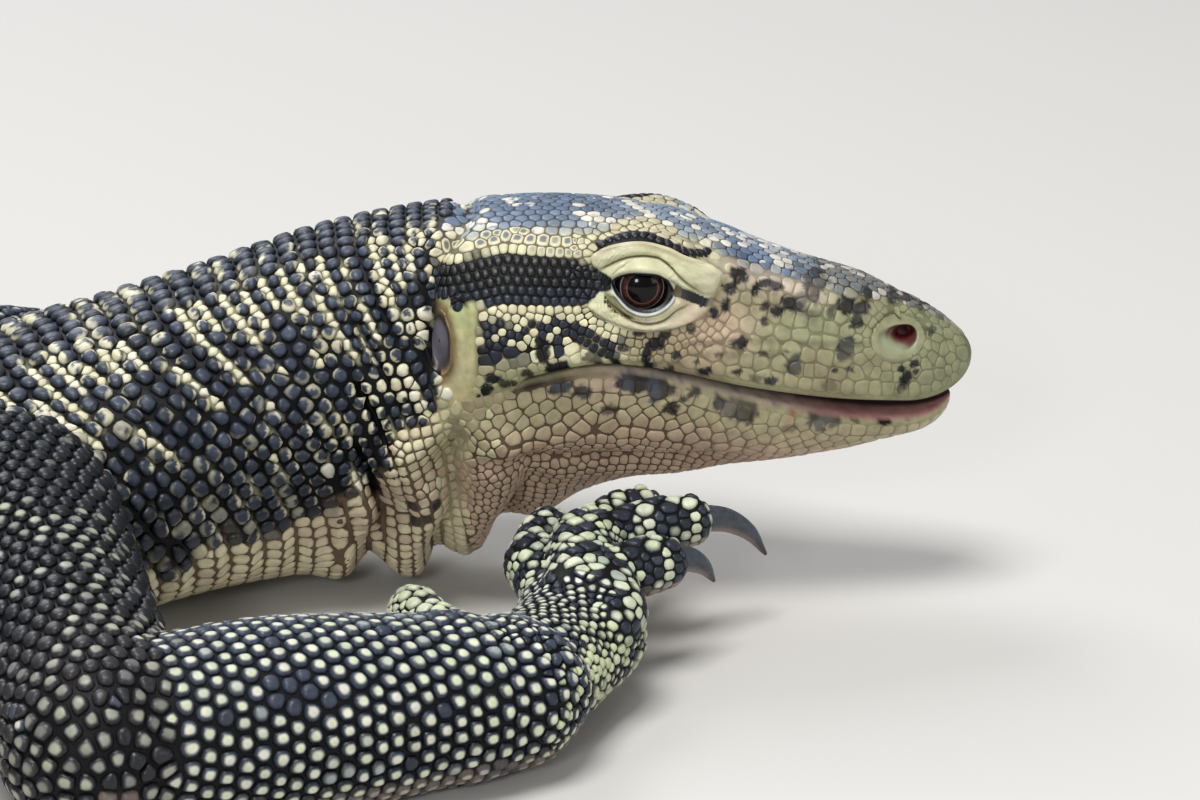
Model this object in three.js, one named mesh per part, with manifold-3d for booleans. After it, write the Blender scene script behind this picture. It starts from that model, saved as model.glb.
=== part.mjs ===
// A life-size water monitor lizard at rest: belly, tail, hands and feet on the ground, head held low over
// the right hand. The axial body is a row of upright sections along a plan path that runs back from the
// snout tip; limbs, digits and claws are tapered round bars. Millimetres, +Z up, the head looks along +X.
import * as THREE from "three";
import Module from "manifold-3d";
import { mergeVertices } from "three/addons/utils/BufferGeometryUtils.js";

const wasm = await Module();
wasm.setup();

// ---- driving dimensions ----
const TOTAL_LENGTH = 1520; // along the spine, snout tip to tail tip
const SNOUT_X = 73.7; // the snout tip, ahead of the body's own middle
const SNOUT_HEIGHT = 48.3;
const NOSE_ROUND = 14; // length of the rounded end of the snout
const JAW_START = 4; // the lower jaw's tip lies this far behind the snout tip
const JAW_ROUND = 9;
const MOUTH_CORNER = 98;
const LIP_OVERHANG = 1.3;
const CUT = 0.4; // thin gap that parts one piece from the next
const FLESH_CUTS = [115, 205, 385, 590, 880, 1190]; // where the neck, trunk and tail lengths begin
const FLOOR_SINK = 0.6; // the flats are this deep in the unclipped shape

// ---- outlines of the axial body: [distance behind the snout tip, value] ----
const CROWN = [
  [0, 56], [12, 59.7], [24, 64.5], [36, 67.9], [48, 72.2], [58, 76.2], [70, 78], [104, 77.6],
  [125, 74.2], [153, 65.8], [175, 60], [197, 55.5], [250, 54.5], [340, 58], [440, 57], [520, 52],
  [600, 46], [700, 40], [850, 33], [1000, 27], [1200, 19], [1400, 10], [1520, 3],
];
const MOUTH_LINE = [
  [0, 41.4], [12, 41.6], [24, 42.6], [44, 46.2], [62, 50.8], [72, 52.1], [84, 50.6], [98, 47.3], [150, 36],
  [200, 26], [520, 22], [700, 18], [1000, 12], [1520, 1.7],
];
const UNDERSIDE = [
  [0, 34.6], [8, 33.2], [16, 31.6], [24, 29.4], [34, 27.4], [54, 24.8], [68, 22.6], [82, 17.5],
  [95, 10.5], [108, 5], [130, 3], [158, 1.5],
  [180, -FLOOR_SINK], [1400, -FLOOR_SINK], [1520, 0.3],
];
const HALF_WIDTH = [
  [0, 10.5], [15, 12.8], [30, 16], [45, 19], [62, 22], [78, 25], [95, 28], [112, 27.2], [130, 29],
  [180, 41], [260, 58], [340, 68], [430, 69], [510, 57], [600, 33], [720, 20.5], [850, 14],
  [1000, 10], [1200, 7], [1520, 1.4],
];
const SQUARE_ABOVE = [[0, 2], [15, 2.2], [65, 2.55], [115, 2.1], [340, 2.15], [600, 2], [1520, 1.7]];
const SQUARE_BELOW = [[0, 2], [95, 1.95], [180, 2.6], [340, 2.9], [520, 2.6], [800, 1.8], [1520, 1.7]];
// The way the body faces along its path, in degrees from +X towards +Y.
const HEADING = [
  [0, 0], [104, 0], [150, 13], [210, 25], [300, 24], [400, 8], [520, -14], [640, -24], [760, -14],
  [900, 12], [1050, 32], [1200, 44], [1360, 60], [1520, 88],
];

const rad = THREE.MathUtils.degToRad;

// A curve through [place, value] knots: cubic pieces with parabolic slopes at the knots.
function smooth(knots) {
  const last = knots.length - 1;
  const rise = knots.slice(1).map(([x, y], i) => (y - knots[i][1]) / (x - knots[i][0]));
  const slope = knots.map(([x], i) => {
    if (i === 0) return rise[0];
    if (i === last) return rise[last - 1];
    const before = x - knots[i - 1][0];
    const after = knots[i + 1][0] - x;
    return (rise[i - 1] * after + rise[i] * before) / (before + after);
  });
  return (at) => {
    const x = THREE.MathUtils.clamp(at, knots[0][0], knots[last][0]);
    let i = 0;
    while (i < last - 1 && x > knots[i + 1][0]) i += 1;
    const span = knots[i + 1][0] - knots[i][0];
    const t = (x - knots[i][0]) / span;
    const u = 1 - t;
    return (
      knots[i][1] * (1 + 2 * t) * u * u +
      slope[i] * span * t * u * u +
      knots[i + 1][1] * t * t * (3 - 2 * t) -
      slope[i + 1] * span * t * t * u
    );
  };
}

// 0 at the very end of a rounded stretch and 1 past its length, as a quarter circle rises.
function rounded(distance, length) {
  const left = THREE.MathUtils.clamp(1 - distance / length, 0, 1);
  return Math.sqrt(1 - left * left);
}

// ---- the axial body ----
const crownRaw = smooth(CROWN);
const mouthRaw = smooth(MOUTH_LINE);
const undersideRaw = smooth(UNDERSIDE);
const widthRaw = smooth(HALF_WIDTH);
const squareAbove = smooth(SQUARE_ABOVE);
const squareBelow = smooth(SQUARE_BELOW);
const heading = smooth(HEADING);

const fromSnout = (s, z) => SNOUT_HEIGHT + (z - SNOUT_HEIGHT) * rounded(s, NOSE_ROUND);
const top = (s) => fromSnout(s, crownRaw(s));
const middle = (s) => fromSnout(s, mouthRaw(s));
const bottom = (s) =>
  middle(s) + Math.min(0, undersideRaw(s) - middle(s)) * rounded(s - JAW_START, JAW_ROUND);
const widthAbove = (s) => widthRaw(s) * rounded(s, NOSE_ROUND);
const overhang = smooth([[0, LIP_OVERHANG], [80, LIP_OVERHANG], [MOUTH_CORNER, 0.3], [120, 0]]);
const widthBelow = (s) => (widthRaw(s) - overhang(s)) * rounded(s - JAW_START, JAW_ROUND);

// The plan path, walked back from the snout tip one millimetre at a time.
const plan = [[SNOUT_X, 0]];
for (let s = 0; s < TOTAL_LENGTH; s += 1) {
  const turn = rad(heading(s + 0.5));
  plan.push([plan[s][0] - Math.cos(turn), plan[s][1] - Math.sin(turn)]);
}

// A point at distance s behind the snout tip, `side` to the animal's left of the path, at height z.
function bodyPoint(s, side, z) {
  const i = Math.min(Math.floor(s), TOTAL_LENGTH - 1);
  const share = s - i;
  const turn = rad(heading(s));
  const x = plan[i][0] + (plan[i + 1][0] - plan[i][0]) * share;
  const y = plan[i][1] + (plan[i + 1][1] - plan[i][1]) * share;
  return new THREE.Vector3(x - side * Math.sin(turn), y + side * Math.cos(turn), z);
}

// The section at s is two half superellipses that meet at the mouth line: angle 0 is the back's ridge,
// a quarter turn the animal's left, and a half turn the belly. `reach` is 1 on the skin and 0 in the middle.
function bodySkin(s, angle, reach, grow) {
  const up = Math.cos(angle);
  const out = Math.sin(angle);
  const above = up >= 0;
  const power = 2 / (above ? squareAbove(s) : squareBelow(s));
  const wide = (above ? widthAbove(s) : widthBelow(s)) + grow;
  const tall = (above ? top(s) - middle(s) : middle(s) - bottom(s)) + grow;
  const side = wide * Math.sign(out) * Math.abs(out) ** power;
  const rise = tall * Math.sign(up) * Math.abs(up) ** power;
  return bodyPoint(s, side * reach, middle(s) + rise * reach);
}

// ---- solids ----
// The closed geometry as a solid: corners welded and flat faces dropped, with its faces pointing out.
function solid(geometry) {
  const bare = geometry.clone();
  bare.deleteAttribute("normal");
  bare.deleteAttribute("uv");
  const welded = mergeVertices(bare, 1e-4);
  const corners = welded.index.array;
  const position = welded.getAttribute("position");
  const faces = [];
  let volume = 0;
  const [a, b, c] = [new THREE.Vector3(), new THREE.Vector3(), new THREE.Vector3()];
  for (let i = 0; i < corners.length; i += 3) {
    const [p, q, r] = [corners[i], corners[i + 1], corners[i + 2]];
    if (p === q || q === r || r === p) continue;
    faces.push([p, q, r]);
    a.fromBufferAttribute(position, p);
    b.fromBufferAttribute(position, q);
    c.fromBufferAttribute(position, r);
    volume += a.dot(b.cross(c));
  }
  const triVerts = new Uint32Array(faces.flatMap(([p, q, r]) => (volume > 0 ? [p, q, r] : [p, r, q])));
  const vertProperties = new Float32Array(position.array);
  return new wasm.Manifold(new wasm.Mesh({ numProp: 3, vertProperties, triVerts }));
}

// A unit cylinder carried over a surface: `stations` are its rings, and skinAt(station, angle, reach)
// gives the place of each of its points.
function wrapped(stations, around, skinAt) {
  const rings = stations.length - 1;
  const geometry = new THREE.CylinderGeometry(1, 1, 1, around, rings);
  const position = geometry.getAttribute("position");
  for (let i = 0; i < position.count; i += 1) {
    const [x, y, z] = [position.getX(i), position.getY(i), position.getZ(i)];
    const station = stations[Math.round((0.5 - y) * rings)];
    const point = skinAt(station, Math.atan2(x, z), Math.round(Math.hypot(x, z)));
    position.setXYZ(i, point.x, point.y, point.z);
  }
  return solid(geometry);
}

// Stations from one place to another, `step` apart or a little less.
function spaced(from, to, step) {
  const count = Math.ceil((to - from) / step);
  return Array.from({ length: count + 1 }, (_, i) => from + ((to - from) * i) / count);
}

// The part of a solid above the ground.
const overGround = solid(new THREE.BoxGeometry(4000, 4000, 500).translate(0, 0, 250));
const above = (manifold) => manifold.intersect(overGround);

function bodyLength(from, to, step, around, grow = 0) {
  return wrapped(spaced(from - grow, to + grow, step), around, (s, angle, reach) =>
    bodySkin(s, angle, reach, grow),
  );
}

function ellipsoid(centre, [rx, ry, rz], segments = 18) {
  const geometry = new THREE.SphereGeometry(1, segments, Math.ceil(segments * 0.6));
  geometry.scale(rx, ry, rz).translate(centre.x, centre.y, centre.z);
  return solid(geometry);
}

const ROUND = [0, 0.5];
const DOMED = [0.3];
const FLAT = [];

// A tapered bar along a path of points, each [Vector3, half width, half height]. `ends` gives the rings of
// its first and last ends: from a round end's pole to its rim, in shares of a quarter turn.
function bar(points, around, steps, grow = 0, ends = [ROUND, ROUND]) {
  const reach = [0];
  for (let i = 1; i < points.length; i += 1) {
    reach.push(reach[i - 1] + points[i][0].distanceTo(points[i - 1][0]));
  }
  const along = (pick) => smooth(points.map((point, i) => [reach[i], pick(point)]));
  const [px, py, pz] = [(p) => p[0].x, (p) => p[0].y, (p) => p[0].z].map(along);
  const wide = along((p) => p[1]);
  const tall = along((p) => p[2]);
  const length = reach[reach.length - 1];
  const at = (t) => new THREE.Vector3(px(t), py(t), pz(t));
  const cap = (t, sense) => (share) =>
    [t, sense * Math.cos((share * Math.PI) / 2), Math.sin((share * Math.PI) / 2)];
  const stations = [
    ...ends[0].map(cap(0, -1)),
    ...spaced(0, length, length / steps).map((t) => [t, 0, 1]),
    ...[...ends[1]].reverse().map(cap(length, 1)),
  ];
  return wrapped(stations, around, ([t, past, swell], angle, onSkin) => {
    const tangent = at(Math.min(t + 0.5, length)).sub(at(Math.max(t - 0.5, 0))).normalize();
    const across = new THREE.Vector3(-tangent.y, tangent.x, 0).normalize();
    const up = tangent.clone().cross(across);
    const w = (wide(t) + grow) * onSkin * swell;
    const h = (tall(t) + grow) * onSkin * swell;
    return at(t)
      .addScaledVector(tangent, past * (Math.min(wide(t), tall(t)) + grow))
      .addScaledVector(across, w * Math.sin(angle))
      .addScaledVector(up, h * Math.cos(angle));
  });
}

const union = ([first, ...others]) => others.reduce((sum, next) => sum.add(next), first);

// The largest body of a cut solid, without the crumbs that a cut can leave.
function mainBody(manifold) {
  const bodies = manifold.decompose();
  return bodies.reduce((best, body) => (body.volume() > best.volume() ? body : best));
}

// ---- materials ----
const finish = (color, roughness) => new THREE.MeshStandardMaterial({ color, roughness, metalness: 0 });
const darkHide = finish(0x23272f, 0.55);
const headHide = finish(0xb9ac78, 0.5);
const spottedHide = finish(0x4a4d49, 0.55);
const horn = finish(0x4c545c, 0.35);
const eyeball = finish(0x1e120e, 0.1);
const eardrum = finish(0x6d6a70, 0.6);

const monitor = new THREE.Group();
function addPiece(name, manifold, material, group = monitor) {
  const { vertProperties, triVerts, numProp, numVert } = mainBody(manifold).getMesh();
  const points = new Float32Array(numVert * 3);
  for (let i = 0; i < numVert; i += 1) {
    points.set(vertProperties.subarray(i * numProp, i * numProp + 3), i * 3);
  }
  const geometry = new THREE.BufferGeometry()
    .setAttribute("position", new THREE.BufferAttribute(points, 3))
    .setIndex(new THREE.BufferAttribute(triVerts, 1));
  geometry.computeVertexNormals();
  const mesh = new THREE.Mesh(geometry, material);
  mesh.name = name;
  group.add(mesh);
}

// ---- head: skull part and lower jaw, parted along the mouth ----
const EYE = { back: 65.2, side: 15.2, height: 66.7, radius: 6.6 };
const ORBIT = [14, 9.6, 9.8]; // half sizes of the swelling round the eye
const LID_OPENING = [5.7, 4, 3.6];
const NOSTRIL = { back: 15.2, side: 11.2, height: 54.4, size: [2.4, 2.6, 1.8] };
const EAR = { back: 106, side: 28, height: 58, size: [2.6, 3.6, 7.5] };
const EAR_RIM = { back: 100.2, side: 25.6, height: 55.5, size: [3, 2.8, 10.5] };
const SOCKET_GAP = 0.35;
const SIDES = { right: -1, left: 1 };
const slit = smooth([[0, 1.4], [10, 2.4], [20, 2.9], [34, 2.4], [56, 1.1], [74, CUT], [120, CUT]]);

const headSpot = ({ back, side, height }, hand) => bodyPoint(back, side * hand, height);

// A slab across the head, below the mouth line by `drop(s)`, that ends behind at the jaw's hinge.
function jawSlab(drop, rear) {
  const along = spaced(JAW_START - 6, MOUTH_CORNER + rear, 8);
  const upper = along.map((s) => [s, middle(Math.max(s, 3)) - drop(s)]);
  const outline = [...upper, [84 + rear, -5], [-10, -5], [-10, upper[0][1]]];
  const shape = new THREE.Shape(outline.map(([s, z]) => new THREE.Vector2(SNOUT_X - s, z)));
  const slab = new THREE.ExtrudeGeometry(shape, { depth: 90, bevelEnabled: false });
  return solid(slab.rotateX(Math.PI / 2).translate(0, 45, 0));
}

const headStations = [0, 0.6, 2.2, 4.1, 4.9, 6.6, 9.4, 13, 17, ...spaced(23, FLESH_CUTS[0] - CUT, 8)];
const wholeHead = wrapped(headStations, 22, (s, angle, reach) => bodySkin(s, angle, reach, 0));
let skull = wholeHead.subtract(jawSlab(() => 0, CUT));
for (const hand of Object.values(SIDES)) {
  const eye = headSpot(EYE, hand);
  const opening = headSpot({ ...EYE, side: EYE.side + EYE.radius + 1.4 }, hand);
  const socket = EYE.radius + SOCKET_GAP;
  skull = union([skull, ellipsoid(headSpot({ ...EYE, side: EYE.side - 2.2 }, hand), ORBIT, 12)])
    .subtract(ellipsoid(eye, [socket, socket, socket], 12))
    .subtract(ellipsoid(opening, LID_OPENING, 10))
    .subtract(ellipsoid(headSpot(NOSTRIL, hand), NOSTRIL.size, 8));
  skull = union([skull, ellipsoid(headSpot(EAR_RIM, hand), EAR_RIM.size, 9)])
    .subtract(ellipsoid(headSpot(EAR, hand), EAR.size, 9));
}
addPiece("head", skull, headHide);
addPiece("lower_jaw", wholeHead.intersect(jawSlab(slit, 0)), headHide);
for (const [name, hand] of Object.entries(SIDES)) {
  const globe = [EYE.radius, EYE.radius, EYE.radius];
  addPiece(`eye_${name}`, ellipsoid(headSpot(EYE, hand), globe, 12), eyeball);
  const drum = EAR.size.map((half) => half - SOCKET_GAP);
  const seat = headSpot({ ...EAR, side: EAR.side - 1.5 }, hand);
  const inEar = ellipsoid(headSpot(EAR, hand), drum, 9).intersect(ellipsoid(seat, [4, 2, 8], 9));
  addPiece(`ear_${name}`, inEar.subtract(skull), eardrum);
}

// ---- neck, trunk and tail: one length after another, parted by thin cuts ----
const LENGTHS = [
  ["neck", 11.5, 22], ["trunk_front", 26, 22], ["trunk_rear", 26, 22],
  ["tail_base", 33, 14], ["tail_middle", 40, 11], ["tail_tip", 42, 9],
];
LENGTHS.forEach(([name, step, around], i) => {
  const end = (FLESH_CUTS[i + 1] ?? TOTAL_LENGTH + CUT) - CUT;
  addPiece(name, above(bodyLength(FLESH_CUTS[i], end, step, around)), darkHide);
});
const bodyGrown = bodyLength(60, 720, 16, 22, 2 * CUT);

// ---- legs ----
// upper and lower bars: [point, half width, half height]. The first point is the hip or shoulder joint.
const at = (x, y, z) => new THREE.Vector3(x, y, z);
const LEGS = [
  {
    name: "right", pair: ["upper_arm", "forearm", "hand"], hand: -1,
    joints: [bodyPoint(202, -33, 31), at(-86, -127, 18), at(-17, -93, 13.5)],
    thick: [[21, 20], [17, 17.5], [19, 17.5], [16, 13.4]],
    foot: {
      heading: 65, palm: 34, wide: 12.5, tall: 10.5, height: 13,
      digits: [
        { from: 0.45, across: 9, spread: 68, curl: 20, length: 31, knuckle: 12, tip: 12.5, claw: 10 },
        { from: 1, across: 7, spread: 36, curl: 20, length: 38, knuckle: 17, tip: 18.5, claw: 15 },
        { from: 1, across: 2.5, spread: 22, curl: 30, length: 44, knuckle: 21, tip: 22, claw: 12 },
        { from: 1, across: -2.5, spread: 27, curl: 62, length: 44, knuckle: 20, tip: 23.5, claw: 19 },
        { from: 0.95, across: -7, spread: 30, curl: 60, length: 26, knuckle: 18.5, tip: 21, claw: 12 },
      ],
    },
  },
  {
    name: "left", pair: ["upper_arm", "forearm", "hand"], hand: 1,
    joints: [bodyPoint(208, 32, 27), bodyPoint(214, 99, 17.5), bodyPoint(150, 124, 9.5)],
    thick: [[20, 18], [15.5, 16], [17.5, 16.4], [11.5, 8.6]],
    foot: {
      heading: 34, palm: 28, wide: 15, tall: 7.6, height: 8.2,
      digits: [
        { from: 0.7, across: 9, spread: 50, curl: 6, length: 22, knuckle: 9, tip: 6, claw: 11 },
        { from: 1, across: 6.5, spread: 25, curl: 6, length: 33, knuckle: 12, tip: 6, claw: 14 },
        { from: 1, across: 0.5, spread: 6, curl: 6, length: 42, knuckle: 12.5, tip: 6, claw: 14 },
        { from: 1, across: -5.5, spread: -10, curl: 6, length: 42, knuckle: 11, tip: 6, claw: 14 },
        { from: 1, across: -9.5, spread: -36, curl: 6, length: 27, knuckle: 9, tip: 6, claw: 14 },
      ],
    },
  },
  {
    name: "right", pair: ["thigh", "shank", "foot"], hand: -1,
    joints: [bodyPoint(545, -22, 27), bodyPoint(502, -98, 20), bodyPoint(566, -130, 11)],
    thick: [[24, 22], [18, 18], [17, 16.5], [11.5, 9.6]],
    foot: {
      heading: -62, palm: 36, wide: 15.5, tall: 8, height: 8.2,
      digits: [
        { from: 0.7, across: 10, spread: 44, curl: 5, length: 20, knuckle: 9, tip: 6, claw: 10 },
        { from: 1, across: 6, spread: 22, curl: 5, length: 31, knuckle: 11.5, tip: 6, claw: 13 },
        { from: 1, across: 0, spread: 5, curl: 5, length: 42, knuckle: 12, tip: 6, claw: 13 },
        { from: 1, across: -6, spread: -10, curl: 5, length: 49, knuckle: 11, tip: 6, claw: 13 },
        { from: 1, across: -10, spread: -46, curl: 5, length: 30, knuckle: 8.5, tip: 6, claw: 13 },
      ],
    },
  },
  {
    name: "left", pair: ["thigh", "shank", "foot"], hand: 1,
    joints: [bodyPoint(545, 22, 27), bodyPoint(520, 104, 20), bodyPoint(592, 122, 11)],
    thick: [[24, 22], [18, 18], [17, 16.5], [11.5, 9.6]],
    foot: {
      heading: 52, palm: 36, wide: 15.5, tall: 8, height: 8.2,
      digits: [
        { from: 0.7, across: 10, spread: 40, curl: 5, length: 20, knuckle: 9, tip: 6, claw: 10 },
        { from: 1, across: 6, spread: 20, curl: 5, length: 31, knuckle: 11.5, tip: 6, claw: 13 },
        { from: 1, across: 0, spread: 4, curl: 5, length: 42, knuckle: 12, tip: 6, claw: 13 },
        { from: 1, across: -6, spread: -12, curl: 5, length: 49, knuckle: 11, tip: 6, claw: 13 },
        { from: 1, across: -10, spread: -50, curl: 5, length: 30, knuckle: 8.5, tip: 6, claw: 13 },
      ],
    },
  },
];
const DIGIT_THICK = [[6.2, 6.2], [6.4, 6.3], [5.9, 6], [5.6, 5.8]]; // root, knuckle, middle and tip
const CALF_SHARE = 0.42; // where the lower leg is thickest
const JOINT_STEP = 0.92; // a length of leg starts this much thinner than the one before it ends

// The unit vector at `angle` degrees from +X towards +Y.
const toward = (angle) => new THREE.Vector3(Math.cos(rad(angle)), Math.sin(rad(angle)), 0);

// A digit's path: out of the palm, over the knuckle, and on to a tip that is turned by `curl`.
// `across` and `spread` are measured towards the animal's midline, and `from` as a share of the palm.
function digitPath({ joints, foot, hand }, { from, across, spread, curl, length, knuckle, tip }) {
  const ahead = toward(foot.heading);
  const inward = toward(foot.heading - 90 * hand);
  const out = toward(foot.heading - spread * hand);
  const turned = toward(foot.heading - (spread - curl) * hand);
  const place = (share, side) =>
    joints[2].clone().addScaledVector(ahead, foot.palm * share).addScaledVector(inward, side);
  const root = place(from * 0.45, across * 0.5);
  const bend = place(from, across);
  const middlePoint = bend.clone().addScaledVector(out, length * 0.52);
  const end = middlePoint.clone().addScaledVector(turned, length * 0.48);
  root.z = foot.height;
  bend.z = knuckle;
  middlePoint.z = (knuckle * 1.1 + tip) / 2;
  end.z = tip;
  return { points: [root, bend, middlePoint, end], turned };
}

// Palm and digits in one.
function footSolid(leg, grow) {
  const { joints, foot } = leg;
  const ahead = toward(foot.heading);
  const palmMiddle = joints[2].clone().addScaledVector(ahead, foot.palm * 0.5).setZ(foot.height);
  const palmEnd = joints[2].clone().addScaledVector(ahead, foot.palm * 0.95).setZ(foot.height + 0.6);
  const [wristWide, wristTall] = leg.thick[3].map((half) => half * JOINT_STEP);
  const palm = bar(
    [
      [joints[2], wristWide, wristTall],
      [palmMiddle, foot.wide, foot.tall + 0.8],
      [palmEnd, foot.wide, foot.tall],
    ],
    10, 3, grow,
  );
  const digits = foot.digits.map((digit) => {
    const { points } = digitPath(leg, digit);
    return bar(points.map((point, i) => [point, ...DIGIT_THICK[i]]), 7, 4, grow, [FLAT, DOMED]);
  });
  return union([palm, ...digits]);
}

// A claw: a bar that leaves the digit's tip, bends down through CLAW_BEND and thins to a point.
const CLAW_BEND = 58;
const CLAW_THICK = [[2.4, 2.9], [2, 2.5], [1.3, 1.7], [0.35, 0.45]];
const CLAW_FLOOR = 0.9; // the lowest middle of a claw
function claw(leg, digit) {
  const { points, turned } = digitPath(leg, digit);
  const step = digit.claw / 3;
  const lift = THREE.MathUtils.clamp(8 - (digit.tip - 6) * 1.5, -4, 8);
  let place = points[3].clone().addScaledVector(turned, 2.2);
  const path = [place];
  for (let i = 0; i < 3; i += 1) {
    const pitch = rad(lift - (CLAW_BEND * (i + 0.5)) / 3);
    place = place.clone().addScaledVector(turned, step * Math.cos(pitch));
    place.z = Math.max(place.z + step * Math.sin(pitch), CLAW_FLOOR);
    path.push(place);
  }
  return bar(path.map((point, i) => [point, ...CLAW_THICK[i]]), 5, 3, 0, [FLAT, FLAT]);
}

for (const leg of LEGS) {
  const limb = new THREE.Group();
  monitor.add(limb);
  const [upperName, lowerName, footName] = leg.pair;
  const [root, bend, end] = leg.joints;
  const swell = bend.clone().lerp(end, CALF_SHARE);
  const start = leg.thick[1].map((half) => half * JOINT_STEP);
  const upper = (grow) => bar([[root, ...leg.thick[0]], [bend, ...leg.thick[1]]], 12, 3, grow);
  const lower = (grow) =>
    bar([[bend, ...start], [swell, ...leg.thick[2]], [end, ...leg.thick[3]]], 12, 4, grow);
  addPiece(`${upperName}_${leg.name}`, above(upper(0).subtract(bodyGrown)), spottedHide, limb);
  const shin = lower(0).subtract(upper(CUT)).subtract(bodyGrown);
  const extremity = footSolid(leg, 0).subtract(lower(CUT)).subtract(bodyGrown);
  addPiece(`${lowerName}_${leg.name}`, above(shin), spottedHide, limb);
  addPiece(`${footName}_${leg.name}`, above(extremity), spottedHide, limb);
  const grownFoot = footSolid(leg, CUT);
  leg.foot.digits.forEach((digit, i) => {
    addPiece(`claw_${footName}_${leg.name}_${i + 1}`, claw(leg, digit).subtract(grownFoot), horn, limb);
  });
}

// ---- the origin goes to the middle of the box's foot ----
const box = new THREE.Box3().setFromObject(monitor, true);
monitor.position.set(-(box.min.x + box.max.x) / 2, -(box.min.y + box.max.y) / 2, 0);

export default monitor;
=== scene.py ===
"""A water monitor lizard at rest, life-size: one skin with its scales, eyes, lids, ears, nostrils and claws.

Shapes are worked out in millimetres in the head's own frame, where the head looks along +X and the ground is
z = 0. One shift, which the right eye's node gives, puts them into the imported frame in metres.
"""
from __future__ import annotations

import logging
import math
from collections.abc import Callable
from dataclasses import dataclass, replace
from enum import Enum

import bpy
import numpy as np
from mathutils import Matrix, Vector
from mathutils.bvhtree import BVHTree
from mathutils.kdtree import KDTree

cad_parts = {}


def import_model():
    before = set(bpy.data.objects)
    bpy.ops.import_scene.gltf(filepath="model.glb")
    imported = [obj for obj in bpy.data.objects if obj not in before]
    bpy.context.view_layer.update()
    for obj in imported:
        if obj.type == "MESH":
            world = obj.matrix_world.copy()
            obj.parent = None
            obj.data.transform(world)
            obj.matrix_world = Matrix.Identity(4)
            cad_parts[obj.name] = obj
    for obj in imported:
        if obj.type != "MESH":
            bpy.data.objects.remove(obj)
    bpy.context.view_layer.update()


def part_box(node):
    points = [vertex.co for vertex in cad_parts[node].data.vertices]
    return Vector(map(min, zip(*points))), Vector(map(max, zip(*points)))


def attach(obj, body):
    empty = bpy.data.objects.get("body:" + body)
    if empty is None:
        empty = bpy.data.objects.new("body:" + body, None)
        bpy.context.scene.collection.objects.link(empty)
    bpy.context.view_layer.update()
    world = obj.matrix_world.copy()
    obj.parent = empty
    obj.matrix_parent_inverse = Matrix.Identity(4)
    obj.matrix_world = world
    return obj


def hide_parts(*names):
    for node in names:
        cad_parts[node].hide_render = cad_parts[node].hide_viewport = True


log = logging.getLogger("monitor")
Array = np.ndarray

FLOOR_CLEAR = 0.45  # the skin's lowest height over the ground, mm
SCALE_CLEAR = 0.06  # the scales' lowest height, mm
POLE = 0.35  # how far behind its tip a tube of the head begins, mm
PIECE_LIMIT = 195000  # triangles in one scale piece
# Places on the head, mm: back from the snout tip, out from the middle plane (the eye's only), up.
EYE = (65.2, 15.2, 66.7)
NOSTRIL = (15.6, 54.1)
EAR = (104.6, 57.0)
FLESH = (
    "head", "lower_jaw", "neck", "trunk_front", "trunk_rear", "tail_base", "tail_middle", "tail_tip",
    "upper_arm_right", "forearm_right", "hand_right", "upper_arm_left", "forearm_left", "hand_left",
    "thigh_right", "shank_right", "foot_right", "thigh_left", "shank_left", "foot_left",
)


class Hand(Enum):
    """The two sides of the body."""

    RIGHT = -1
    LEFT = 1


# ---------------------------------------------------------------- curves and small helpers


def ease(x: Array, low: float, high: float) -> Array:
    """Rises smoothly from 0 at `low` to 1 at `high`: 3t^2 - 2t^3 of the clipped share t.

    Args:
        x: Places to evaluate.
        low: Where the rise begins.
        high: Where it ends.

    Returns:
        Values from 0 to 1.
    """
    t = np.clip((np.asarray(x, float) - low) / (high - low), 0, 1)
    return t * t * (3 - 2 * t)


def hump(x: Array, centre: Array, spread: Array) -> Array:
    """A bell curve exp(-((x - centre) / spread)^2 / 2)."""
    return np.exp(-0.5 * ((x - centre) / spread) ** 2)


def rounded(distance: Array, length: float) -> Array:
    """0 at the end of a rounded stretch and 1 past its length, as a quarter circle rises."""
    left = np.clip(1 - np.asarray(distance, float) / length, 0, 1)
    return np.sqrt(1 - left * left)


def unit(v: Array) -> Array:
    """Vectors scaled to length 1 along the last axis."""
    return v / np.maximum(np.linalg.norm(v, axis=-1, keepdims=True), 1e-9)


@dataclass(frozen=True)
class Knots:
    """A curve through (place, value) knots: cubic pieces with parabolic slopes at the knots."""

    pairs: tuple[tuple[float, float], ...]

    def __call__(self, at: Array | float) -> Array:
        """The curve's value at each place, held at its end values outside the knots.

        Args:
            at: Places.

        Returns:
            Values of the same shape.
        """
        x = np.array([p[0] for p in self.pairs], float)
        y = np.array([p[1] for p in self.pairs], float)
        gap = np.diff(x)
        rise = np.diff(y) / gap
        slope = np.concatenate([rise[:1], (rise[:-1] * gap[1:] + rise[1:] * gap[:-1]) / (gap[1:] + gap[:-1]),
                                rise[-1:]])
        v = np.clip(np.asarray(at, float), x[0], x[-1])
        i = np.clip(np.searchsorted(x, v, side="left") - 1, 0, len(x) - 2)
        span = gap[i]
        t = (v - x[i]) / span
        u = 1 - t
        return (y[i] * (1 + 2 * t) * u * u + slope[i] * span * t * u * u
                + y[i + 1] * t * t * (3 - 2 * t) - slope[i + 1] * span * t * t * u)


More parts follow.
